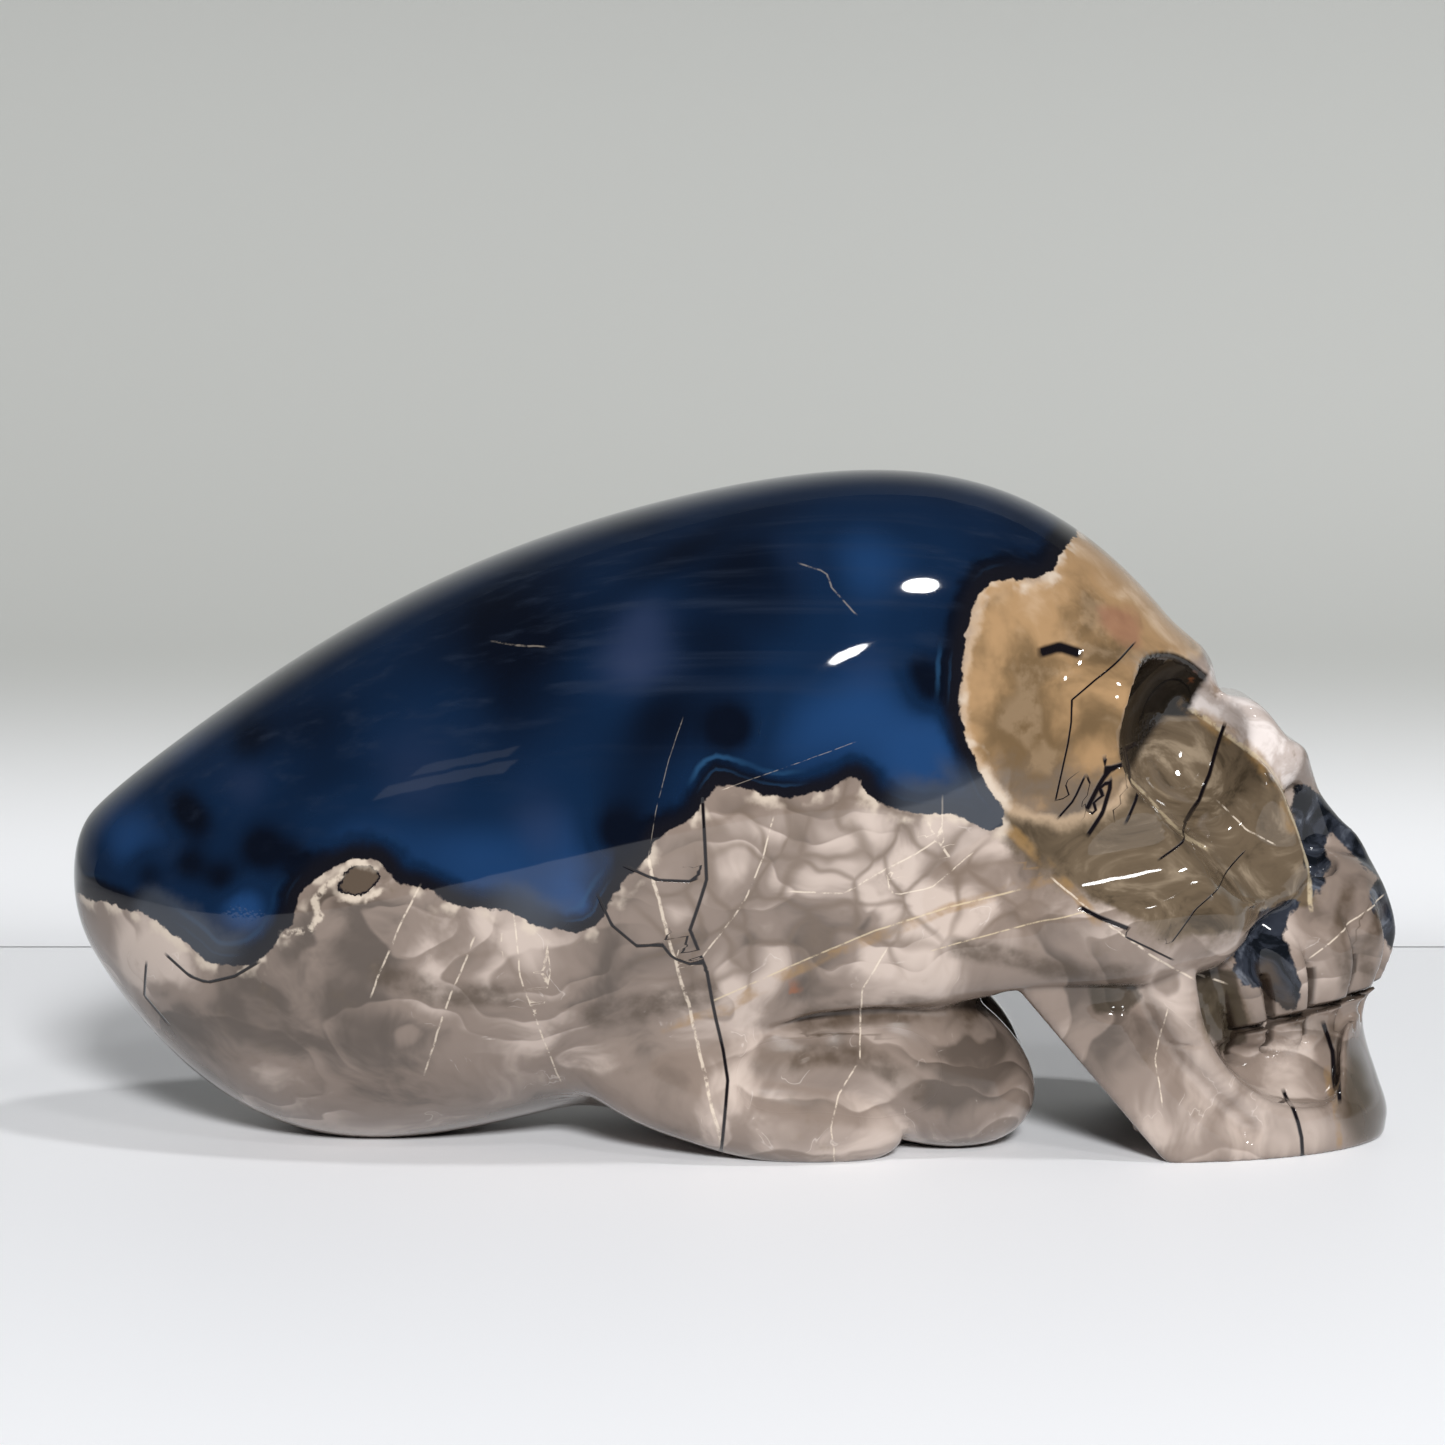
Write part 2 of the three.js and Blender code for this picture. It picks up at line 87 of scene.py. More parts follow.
teeth = {
    "middleX": 66, "halfLength": 39.6, "halfWidth": 22.6, "power": 2.3,
    "inset": [(0, 1.4), (4.2, 1.2), (9, 2.7), (14.6, 4.4), (18.6, 5), (20.5, 4.4), (25, 2.2), (29, 0.6),
        (33.1, 0), (38.2, 1.2), (43, 3.4), (50, 8)],
    "sideInset": [(3, -1), (6, 0.4), (10, 2.6), (14, 3.8), (15.6, 3.4), (17, 1.5), (22, 0.9), (29, 1),
        (34, 3), (38, 6), (42, 9.5), (50, 17)],
    "backX": 60, "topZ": 46, "lowestZ": 3,
    "biteX": 79.3, "biteZ": 18.8, "biteSlope": 0.226, "biteHalfGap": 0.45, "biteDepth": 2.4,
    "cutAngles": (0, 14.5, 31, 47.5, 61, 73), "cutHalfWidth": 0.6, "cutDepth": 3.4,
    "lowerBackX": 62, "gapsFromX": 76.3, "cutMiddle": 1.5, "cutHalfHeight": 6.5,
    "cutAbove": 8, "cutBelow": 5, "lean": 0.56, "edgeRounding": 2, "edgeWidth": 3,
}
jaw = {
    "rearLow": (66.3, 0), "rearHigh": (45.5, 24.5), "top": 40,
    "front": [(0, 104.2), (4.2, 104.4), (9, 102.9), (14.6, 101), (18.6, 100.3), (26, 101)],
    "middleX": 66, "halfLength": 38.4, "halfWidth": 31.9, "power": 1.95, "edgeBlend": 1.6,
    "window": [(69.5, 40), (71, 26.5), (72.3, 20.8), (74.6, 16), (78, 12), (82.5, 9), (88, 7.2),
        (94.9, 7.4), (95.2, 18.2), (99, 20), (112, 24), (112, 40)],
    "windowBlend": 0.9,
    "hollow": [(30, -9), (30, 22), (52, 21.4), (66, 16.6), (80, 11), (88, 4), (90, 0), (88, -4)],
    "hollowTop": 25, "hollowBackX": 43, "hollowBlend": 8,
    "groove": [(61, 27), (63.2, 22.6), (65.6, 18.6), (68.8, 14.4), (73, 9.8), (78.7, 4.8)],
    "grooveDepth": 2.2, "grooveHalfWidth": 3.2,
    "step": [(66.3, 18.3), (70.8, 18.2)], "stepDepth": 0.7, "stepHalfWidth": 0.35,
}
faceEdge = {  # lower and front edge of the head, seen from the side
    "outline": [(-30, 10), (-6, 12), (-1, 17.6), (3, 20.2), (8, 22.4), (15, 24), (22, 24.5), (29, 24),
        (33, 22.9), (36, 22.9), (38.6, 24.6), (42, 27), (54.3, 27.5), (70.5, 27.8), (76.5, 28),
        (78.4, 29.4), (79, 32), (79.9, 34.6), (82.3, 36.8), (85.5, 38), (90.9, 37.8), (90.5, 43.5),
        (89.2, 47), (88, 50.6), (86.8, 53.2), (85.4, 56.7), (83, 60.2), (79.5, 62.9), (76, 65.5), (76, 120),
        (-30, 120)],
    "fromX": -6, "coreDepth": 2, "blend": 0.8,
}
archGroove = {"path": [(1, 36, 17), (9, 35, 20.4), (22, 34.5, 22.2), (34, 33.5, 21), (40, 32.5, 20.4)],
              "radii": (0.8, 2, 2.5, 2.6, 3), "blend": 0.8}


# The smaller of two distances, rounded over where they differ by less than width.
def softMin(a, b, width):
    h = np.maximum(width - np.abs(a - b), 0) / width
    return np.minimum(a, b) - h * h * width / 4


def softMax(a, b, width):
    return -softMin(-a, -b, width)


# A distance cut off by limits one after another, each with the width of its rounding.
def within(d, *limits):
    for limit, width in limits:
        d = softMax(d, limit, width)
    return d


# 0 below low, 1 above high, 3 t squared - 2 t cubed between.
def easeBetween(low, high, value):
    t = np.clip((value - low) / (high - low), 0, 1)
    return t * t * (3 - 2 * t)


# Cubic curve through stations (place, value), its slope at each the slope between its neighbours.
def curveThrough(place, stations):
    at, value = np.array(stations, dtype=float).T
    slope = np.empty(len(at))
    slope[1:-1] = (value[2:] - value[:-2]) / (at[2:] - at[:-2])
    slope[0] = (value[1] - value[0]) / (at[1] - at[0])
    slope[-1] = (value[-1] - value[-2]) / (at[-1] - at[-2])
    v = np.clip(place, at[0], at[-1])
    i = np.clip(np.searchsorted(at, v) - 1, 0, len(at) - 2)
    w = at[i + 1] - at[i]
    t = (v - at[i]) / w
    rise = value[i] * (1 + 2 * t) * (1 - t) ** 2 + value[i + 1] * t * t * (3 - 2 * t)
    return rise + w * t * (1 - t) * (slope[i] * (1 - t) - slope[i + 1] * t)


# Polynomial through values at even places from -1 to 1, as a sum of each value times its own product.
def evenThrough(u, values):
    places = np.linspace(-1, 1, len(values))
    total = 0
    for i, value in enumerate(values):
        term = value
        for j, place in enumerate(places):
            if i != j:
                term = term * (u - place) / (places[i] - place)
        total = total + term
    return total


# Oval: k (k - 1) / g, with k the length of point / half sizes and g that of point / half sizes squared.
def oval(x, y, z, at, half, tilt=0, **blends):
    a = math.radians(tilt)
    dx, dy, dz = x - at[0], y - at[1], z - at[2]
    if tilt:
        dx, dz = dx * math.cos(a) + dz * math.sin(a), dz * math.cos(a) - dx * math.sin(a)
    near = np.sqrt((dx / half[0]) ** 2 + (dy / half[1]) ** 2 + (dz / half[2]) ** 2) + tiny
    steep = np.sqrt((dx / half[0] ** 2) ** 2 + (dy / half[1] ** 2) ** 2 + (dz / half[2] ** 2) ** 2) + tiny
    return near * (near - 1) / steep


# Bar: distance to the nearest point of the line from start to end, less a radius that runs from one to
# the other.
def bar(x, y, z, start, end, radii, flat=1, **blends):
    ex, ey, ez = (b - a for a, b in zip(start, end))
    t = ((x - start[0]) * ex + (y - start[1]) * ey + (z - start[2]) * ez) / (ex * ex + ey * ey + ez * ez)
    t = np.clip(t, 0, 1)
    dx, dy, dz = x - start[0] - t * ex, (y - start[1] - t * ey) / flat, z - start[2] - t * ez
    return (np.sqrt(dx * dx + dy * dy + dz * dz) - radii[0] - t * (radii[1] - radii[0])) * flat


# An oval or bar by its name, and the width it blends with.
def named(name, place):
    return oval(*place, **ovals[name]) if name in ovals else bar(*place, **bars[name])


def blendOf(name):
    return (ovals.get(name) or bars[name])["blend"]


# The same width, growing by an amount between two places.
def softened(name, along):
    more, start, end = (ovals.get(name) or bars[name])["softer"]
    return blendOf(name) + more * easeBetween(start, end, along)


def joined(d, name, place):
    return softMin(d, named(name, place), blendOf(name))


def hollowed(d, name, place):
    return softMax(d, -named(name, place), blendOf(name))


# Distance to the left of the line from a to b in a flat view.
def leftOf(u, v, a, b):
    eu, ev = b[0] - a[0], b[1] - a[1]
    return ((v - a[1]) * eu - (u - a[0]) * ev) / math.hypot(eu, ev)


# Way to a place from the nearest point of the straight stretch from a to b, in a flat view.
def fromStretch(u, v, a, b):
    eu, ev = b[0] - a[0], b[1] - a[1]
    t = np.clip(((u - a[0]) * eu + (v - a[1]) * ev) / (eu * eu + ev * ev), 0, 1)
    return u - a[0] - t * eu, v - a[1] - t * ev


def stretchSquared(u, v, a, b):
    du, dv = fromStretch(u, v, a, b)
    return du ** 2 + dv ** 2


# Cuts the corners of an outline: each stretch keeps its middle half, and each pass does so again.
def rounded(points, passes):
    p = np.array(points, dtype=float)
    for _ in range(passes):
        after = np.roll(p, -1, axis=0)
        p = np.stack([p * 0.75 + after * 0.25, p * 0.25 + after * 0.75], axis=1).reshape(-1, 2)
    return p.tolist()


# Distance to an outline of straight stretches in a flat view, negative inside it. A point is inside when
# an odd number of stretches cross the level line to the right of it.
def outlineForm(u, v, points):
    nearest, crossings = farAway, False
    for a, b in zip(points, points[1:] + points[:1]):
        nearest = np.minimum(nearest, stretchSquared(u, v, a, b))
        if b[1] != a[1]:
            slant = (b[0] - a[0]) / (b[1] - a[1])
            crossings = crossings ^ (((v >= a[1]) != (v >= b[1])) & (u < a[0] + slant * (v - a[1])))
    return np.sqrt(nearest) * np.where(crossings, -1, 1)


def lineDistance(u, v, points):
    nearest = farAway
    for a, b in zip(points, points[1:]):
        nearest = np.minimum(nearest, stretchSquared(u, v, a, b))
    return np.sqrt(nearest)


# Braincase: an oval whose middle height, half height and half width change along its length.
def braincaseForm(x, y, z):
    u = (x - braincase["middleX"]) / braincase["halfLength"]
    place = np.clip(u, -braincase["reachPastEnds"], braincase["reachPastEnds"])
    h = np.maximum(evenThrough(place, braincase["halfHeight"]), braincase["leastHalf"])
    w = np.maximum(evenThrough(place, braincase["halfWidth"]), braincase["leastHalf"])
    dz = z - evenThrough(place, braincase["middleZ"])
    near = np.sqrt(u ** 2 + (y / w) ** 2 + (dz / h) ** 2) + tiny
    steep = np.sqrt((u / braincase["halfLength"]) ** 2 + (y / w ** 2) ** 2 + (dz / h ** 2) ** 2) + tiny
    return softMax(near * (near - 1) / steep, braincase["backX"] - x, braincase["backBlend"])


# Nose: below its outline, and within a half width that grows inward and backward.
def noseForm(x, y, z):
    along, out = (x - z) * math.sqrt(0.5), (x + z) * math.sqrt(0.5)
    below = curveThrough(along, nose["outline"]) - out
    halfWidth = curveThrough(along, nose["halfWidth"])
    halfWidth = halfWidth + nose["widerInward"] * np.maximum(below - nose["widerFrom"], 0)
    return within(-below * nose["outSlope"], ((y - halfWidth) * nose["sideSlope"], nose["edgeBlend"]),
                  (nose["backX"] - x, 4), (along - nose["alongTo"], 3),
                  (nose["alongFrom"] - along, 2), (nose["outFrom"] - out, 4))


# Arch from above: ring = (ax^p + ay^p)^(1/p), ax and ay being x and y over its half sizes, made a
# distance by its slope.
def archForm(x, y, arch):
    p, length, width = arch["power"], arch["halfLength"], arch["halfWidth"]
    ax, ay = x / length, np.abs(y) / width
    ring = (ax ** p + ay ** p + 1e-9) ** (1 / p)
    steep = np.sqrt((ax ** (p - 1) / length) ** 2 + (ay ** (p - 1) / width) ** 2 + 1e-9)
    return (ring - 1) / (steep * ring ** (1 - p)), ax, ay, ring


def biteHeight(x):
    return teeth["biteZ"] + (x - teeth["biteX"]) * teeth["biteSlope"]


# The teeth from above, drawn in by an inset at each height, and the turn around them, the angle whose
# cosine is ax^(p/2) and sine ay^(p/2).
def toothRing(x, y, z):
    ring, ax, ay, _ = archForm(np.abs(x - teeth["middleX"]), y, teeth)
    turn = np.arctan2(ay ** (teeth["power"] / 2), ax ** (teeth["power"] / 2))
    sideways = np.sin(turn) ** 2
    inset = curveThrough(z, teeth["inset"]) * (1 - sideways)
    return ring + inset + curveThrough(z, teeth["sideInset"]) * sideways, turn


# Distance along the arch from the nearest saw cut; the cuts lean forward going down.
def cutDistance(x, z, turn):
    leaning = np.degrees(turn) - teeth["lean"] * np.sin(turn) * (z - biteHeight(x))
    nearest = np.min([np.abs(leaning - a) for a in teeth["cutAngles"]], axis=0)
    pace = np.hypot(teeth["halfLength"] * 0.85 * np.sin(turn), teeth["halfWidth"] * np.cos(turn))
    return np.radians(nearest) * pace


# The head: braincase, face and cheeks blended one after another and ended at the face edge.
def headForm(x, y, z):
    place = (x, y, z)
    d = joined(joined(braincaseForm(x, y, z), "underside", place), "faceBlock", place)
    d = hollowed(d, "templeHollow", place)
    for name in ("brow", "socketRim", "arch"):
        d = joined(d, name, place)
    d = softMin(d, joined(named("cheekbone", place), "upperJawEdge", place), blendOf("upperJawEdge"))
    d = joined(hollowed(d, "archValley", place), "archRidge", place)
    d = hollowed(d, "cheekHollow", place)
    edge = outlineForm(x, z, rounded(faceEdge["outline"], 1))
    core = softMax(np.maximum(d, -faceEdge["coreDepth"]), named("core", place), blendOf("core"))
    d = softMax(d, np.where(x > faceEdge["fromX"], edge, -20), faceEdge["blend"])
    d = softMin(softMin(d, core, 1.5), noseForm(x, y, z), nose["blend"])
    return softMax(d, -joined(named("trough", place), "socket", place), softened("trough", z))


def lowerJawForm(x, y, z, lowerTeeth):
    plan, ax, _, ring = archForm(np.maximum(x - jaw["middleX"], 0), y, jaw)
    d = within(leftOf(x, z, jaw["rearLow"], jaw["rearHigh"]), (-0.4 - z, 1.5), (z - jaw["top"], 3))
    inset = (jaw["front"][1][1] - curveThrough(z, jaw["front"])) * (ax / np.maximum(ring, tiny)) ** 2
    groove = np.clip(1 - lineDistance(x, z, jaw["groove"]) / jaw["grooveHalfWidth"], 0, 1)
    step = np.clip(1 - lineDistance(x, z, jaw["step"]) / jaw["stepHalfWidth"], 0, 1)
    inset = inset + jaw["grooveDepth"] * groove ** 2 * (3 - 2 * groove) + jaw["stepDepth"] * step
    d = softMax(d, plan + inset, jaw["edgeBlend"])
    window = outlineForm(x, z, rounded(jaw["window"], 2))
    return softMin(softMax(d, -window, jaw["windowBlend"]), lowerTeeth, 1.2)


# Head, teeth and jaw, with the bite line and the saw cuts taken out.
def toothedForm(x, y, z):
    ring, turn = toothRing(x, y, z)
    above, fromCut = z - biteHeight(x), cutDistance(x, z, turn)
    low, high = teeth["cutBelow"], teeth["cutAbove"]
    toothed = easeBetween(-low - 1, -low + 1, above) * easeBetween(high + 12, high - 1, above)
    ring = ring + teeth["edgeRounding"] * toothed * easeBetween(teeth["edgeWidth"], 0, fromCut)
    block = ring * 0.95
    upperTeeth = within(block, (-above - 1, 0.6), (z - teeth["topZ"], 7), (teeth["backX"] - x, 4))
    lowerTeeth = within(block + 0.6, (above - 1, 0.6), (teeth["lowerBackX"] - x, 4),
                        (teeth["lowestZ"] - z, 1))
    d = softMin(headForm(x, y, z), upperTeeth, 1)
    d = softMin(d, lowerJawForm(x, y, z, lowerTeeth), 0.8)
    biteGap = softMax(np.abs(above) - teeth["biteHalfGap"], -ring - teeth["biteDepth"], 0.5)
    cuts = within(fromCut - teeth["cutHalfWidth"], (-ring - teeth["cutDepth"], 0.5),
                  (np.abs(above - teeth["cutMiddle"]) - teeth["cutHalfHeight"], 0.5))
    gaps = softMax(np.minimum(biteGap, cuts), teeth["gapsFromX"] - x, 0.5)
    return softMax(d, -np.maximum(gaps, ring - 6), 0.5)


# Signed distance of the whole carving, about true near the surface, negative in the stone.
def skullForm(x, side, z):
    y = np.abs(side)
    place = (x, y, z)
    hollow = softMax(outlineForm(x, y, jaw["hollow"]), z - jaw["hollowTop"], jaw["hollowBlend"])
    d = softMax(toothedForm(x, y, z), -softMax(hollow, jaw["hollowBackX"] - x, 2), 2)
    d = hollowed(d, "jawPit", place)
    d = softMin(d, named("shoulder", place), softened("shoulder", x))
    d = joined(d, "frontLobe", place)
    d = softMin(d, named("sideLobe", place), softened("sideLobe", x))
    path, radii = archGroove["path"], archGroove["radii"]
    under = np.min([bar(x, y, z, *path[i:i + 2], radii[i:i + 2]) for i in range(len(path) - 1)], axis=0)
    d = softMax(d, -under, archGroove["blend"])
    return np.maximum(hollowed(d, "nostril", place), -z)


# Where the field is worked out: places between stops, a step wide each, closer in the face.
skullGrid = {
    "x": [(-109, 2.9), (-24, 2), (40, 1.4), (52, 0.95), (74, 0.57), (107.5, None)],
    "y": [(0, 0.74), (24, 1), (38, 1.25), (49.5, None)],
    "z": [(-1.3, 0.8), (12, 0.56), (34, 0.8), (50, 1.1), (80, 1.4), (109, None)],
    "uncrossPasses": 6, "settleSteps": 3, "settleReach": 0.15,
}


def gridPlaces(stops):
    parts = []
    for (a, step), (b, _) in zip(stops, stops[1:]):
        parts.append(np.linspace(a, b, max(1, round((b - a) / step)), endpoint=False))
    return np.append(np.concatenate(parts), stops[-1][0])


# One point for each cell that the surface passes through, the mean of where its edges are crossed.
def cellPoints(field, axes, through):
    total, count = np.zeros((len(through), 3)), np.zeros(len(through))
    for axis in range(3):
        others = [k for k in range(3) if k != axis]
        for shift in np.ndindex(2, 2):
            low = through.copy()
            low[:, others] += shift
            high = low.copy()
            high[:, axis] += 1
            a, b = field[tuple(low.T)], field[tuple(high.T)]
            crossed = (a < 0) != (b < 0)
            t = np.where(crossed, a / np.where(crossed, a - b, 1), 0)
            point = np.stack([axes[k][low[:, k]] for k in range(3)], axis=1)
            point[:, axis] += t * (axes[axis][high[:, axis]] - axes[axis][low[:, axis]])
            total += np.where(crossed[:, None], point, 0)
            count += crossed
    return total / count[:, None]


# A four-sided face for each crossed edge along one axis, from the cells around it.
def crossedFaces(inside, number, axis):
    u, v = [k for k in range(3) if k != axis]
    first, second = [slice(None)] * 3, [slice(None)] * 3
    first[axis], second[axis] = slice(0, -1), slice(1, None)
    a, b = inside[tuple(first)], inside[tuple(second)]
    at = np.argwhere(a != b)
    for k in (u, v):
        at = at[(at[:, k] > 0) & (at[:, k] < number.shape[k])]
    around = []
    for back in ((1, 1), (0, 1), (0, 0), (1, 0)):
        cell = at.copy()
        cell[:, [u, v]] -= back
        around.append(number[tuple(cell.T)])
    quad = np.stack(around, axis=1)
    leaving = a[tuple(at.T)] != (axis == 1)
    return np.where(leaving[:, None], quad, quad[:, ::-1])


# Surface of a field on a grid, as points and four-sided faces.
def surfaceOf(field, axes):
    inside = field < 0
    shape = tuple(n - 1 for n in field.shape)
    corner = [tuple(slice(o, o + n) for o, n in zip(offset, shape)) for offset in np.ndindex(2, 2, 2)]
    filled = sum(inside[c].astype(np.int8) for c in corner)
    through = np.argwhere((filled > 0) & (filled < 8))
    number = np.full(shape, -1)
    number[tuple(through.T)] = np.arange(len(through))
    faces = [crossedFaces(inside, number, axis) for axis in range(3)]
    return cellPoints(field, axes, through), np.concatenate(faces)


# Where a grid square has its corners in and out crosswise, the one nearest the surface changes side, so that
# no edge gets four faces.
def uncrossed(field):
    for _ in range(skullGrid["uncrossPasses"]):
        for u, v in ((0, 1), (0, 2), (1, 2)):
            steps = np.zeros((4, 3), dtype=int)
            steps[[1, 2], u] = 1
            steps[[2, 3], v] = 1
            size = np.array(field.shape)
            size[[u, v]] -= 1
            inside = [field[tuple(slice(o, o + n) for o, n in zip(step, size))] < 0 for step in steps]
            at = np.argwhere((inside[0] == inside[2]) & (inside[1] == inside[3]) & (inside[0] != inside[1]))
            places = at[:, None, :] + steps
            values = field[tuple(places.reshape(-1, 3).T)].reshape(-1, 4)
            each, pick = np.arange(len(at)), np.abs(values).argmin(axis=1)
            field[tuple(places[each, pick].T)] = -0.001 * np.sign(values[each, pick])
    return field


# Slope of the field at points, by a small step each way along each axis.
def slopeAt(points, reach):
    steps = np.eye(3) * reach
    rows = [skullForm(*(points + s).T) - skullForm(*(points - s).T) for s in steps]
    return np.stack(rows, axis=1) / (2 * reach)


# Moves points onto the surface: each goes back along the slope by field / slope squared.
def settle(points, steps, reach):
    for _ in range(steps):
        slope = slopeAt(points, reach)
        value = skullForm(*points.T)
        move = value / np.maximum((slope ** 2).sum(axis=1), 0.25)
        move = np.clip(move, -0.6, 0.6)
        points = points - move[:, None] * slope
    return points


def skullSurface():
    x, y, z = (gridPlaces(skullGrid[k]) for k in "xyz")
    half = skullForm(x[:, None, None], y[None, :, None], z[None, None, :])
    field = uncrossed(np.concatenate([half[:, :0:-1], half], axis=1))
    points, faces = surfaceOf(field, (x, np.concatenate([-y[:0:-1], y]), z))
    points = settle(points, skullGrid["settleSteps"], skullGrid["settleReach"])
    points[:, 2] = np.where(points[:, 2] < 0.02, 0, points[:, 2])
    return points, faces


def meshObject(name, points, faces):
    mesh = bpy.data.meshes.new(name)
    mesh.vertices.add(len(points))
    mesh.vertices.foreach_set("co", (points * millimetre).astype(np.float32).ravel())
    mesh.loops.add(faces.size)
    mesh.loops.foreach_set("vertex_index", faces.astype(np.int32).ravel())
    mesh.polygons.add(len(faces))
    mesh.polygons.foreach_set("loop_start", np.arange(0, faces.size, faces.shape[1], dtype=np.int32))
    mesh.polygons.foreach_set("use_smooth", np.ones(len(faces), dtype=bool))
    mesh.update(calc_edges=True)
    mesh.validate()
    thing = bpy.data.objects.new(name, mesh)
    bpy.context.scene.collection.objects.link(thing)
    return thing


# The natural drawing of the stone, seen from the side: places are x and z in millimetres.
# The near side (y below 0) follows the photograph and the far side has its own, plainer drawing.
drawing = {
    "blueNear": [(-112, 40), (-99.6, 38.9), (-90.8, 37.5), (-84.1, 33.6), (-80.1, 30.4), (-76, 30.4),
        (-72.5, 31.9), (-69.8, 34.4), (-67.4, 38.1), (-66.5, 43), (-62.8, 46.2), (-59.3, 48), (-55.1, 48.9),
        (-53, 47.8), (-51.5, 45.4), (-46.9, 44.2), (-43.1, 42.3), (-38.5, 40.6), (-34.8, 41.2),
        (-30.3, 38.6), (-25, 37.2), (-20.5, 38.6), (-19.2, 41.8), (-16.6, 45.6), (-12.9, 49), (-11.1, 53.4),
        (-6.9, 53.5), (-3.1, 60), (-2.1, 61), (1.4, 59.2), (6.6, 58), (11.2, 58.3), (15.7, 59.9),
        (18.7, 61), (20.3, 57.5), (24.1, 55.9), (29.5, 54.6), (34.1, 54.9), (38, 52), (40.4, 51.6),
        (40.8, 55.3), (38.4, 58.1), (36.4, 62), (34.4, 66.7), (33.8, 72), (34.5, 77.3), (34.8, 81),
        (36.5, 86.9), (38.2, 89.6), (41.4, 90.3), (45.3, 89.6), (48.9, 90.6), (50.4, 93.1), (53.3, 95.6),
        (62, 104), (62, 130), (-112, 130)],
    "blueFar": [(-112, 47), (-98, 44), (-84, 49), (-70, 47), (-58, 40), (-44, 38), (-30, 43), (-22, 52),
        (-8, 55), (4, 50), (14, 51), (22, 58), (30, 57), (36, 66), (33, 78), (38, 88), (47, 92), (62, 104),
        (62, 130), (-112, 130)],
    "blueTurn": 6,  # the two change over within this distance of the middle
    "farFrom": 70, "farScale": 0.8,  # the far side has the lines and clouds stretched from here
    "gold": [(50.4, 96), (48.9, 90.2), (45.3, 89.6), (41.4, 90.2), (38.2, 89.5), (36.5, 86.9), (34.8, 81),
        (34, 72), (34.8, 66.7), (36.9, 62), (38.7, 58.1), (42, 55), (47, 53), (53, 53), (58, 55), (61, 60),
        (63, 66), (66, 76), (75, 77), (74, 84), (60, 100)],
    "nasal": [(72, 68.5), (75, 75), (90, 75), (90, 62), (89.6, 58), (85.7, 55.5), (81.5, 61.2),
        (76.6, 64.8)],
    "nosePatch": [(88.4, 56.8), (92.6, 54.6), (96, 51.2), (100, 50), (106, 46), (106, 42.4), (101.6, 41),
        (98.2, 44.6), (94.6, 48.6), (94.2, 43.4), (92.6, 41.4), (90.4, 43.6), (88.6, 49)],
    "lipPatch": [(101.4, 41), (108, 42), (108, 30), (104.4, 29.6), (102.2, 34.3), (100, 39)],
    "gumPatch": [(78, 28.8), (79, 35.2), (81.8, 38), (86.1, 39), (88.2, 38.4), (85.9, 33.7), (86.9, 30.7),
        (88.4, 25.9), (88.1, 21.8), (86.2, 21.6), (82.2, 25.3), (79.1, 26.2)],
    "nostrilPatch": [(88, 51.6), (90.4, 50.6), (92.2, 48.4), (92.8, 44.6), (92.2, 41), (90.6, 39.8),
        (90, 43), (89.2, 46.6)],
    # painted shade in the mouth's recess behind the teeth
    "mouthShadePatch": [(70.6, 28), (78, 28.4), (80.6, 16.6), (76.4, 15.4), (73, 18.4), (71.4, 22)],
    "cheek": [(70, 67.5), (76, 65.5), (79.5, 62.9), (83, 60.2), (85.4, 56.7), (86.8, 53.2), (88, 50.6),
        (89.2, 47), (90.5, 43.5), (91, 37.8), (85.5, 38), (82.3, 37), (80, 35.2), (76, 36.4), (70, 35.6),
        (61, 38.8), (55, 41.4), (49, 46), (45, 50), (42.6, 55.4), (48, 54.6), (56, 54.4), (60.6, 57),
        (62, 63)],
    "eye": [(-60.2, 43.4), (-59.4, 45.4), (-57.6, 47), (-55.2, 47.5), (-53.7, 46.6), (-53.3, 45),
        (-55, 43.3), (-58, 42.7)],
    # painted shade in the jaw pit
    "jawPitShade": [(53.4, 28.2), (61.6, 28.2), (63, 25.6), (60, 23), (55.4, 23.4)],
    "chin": [(96, 15.5), (108, 15), (108, -2), (97, 0), (94.6, 4.4), (94.2, 9)],
}
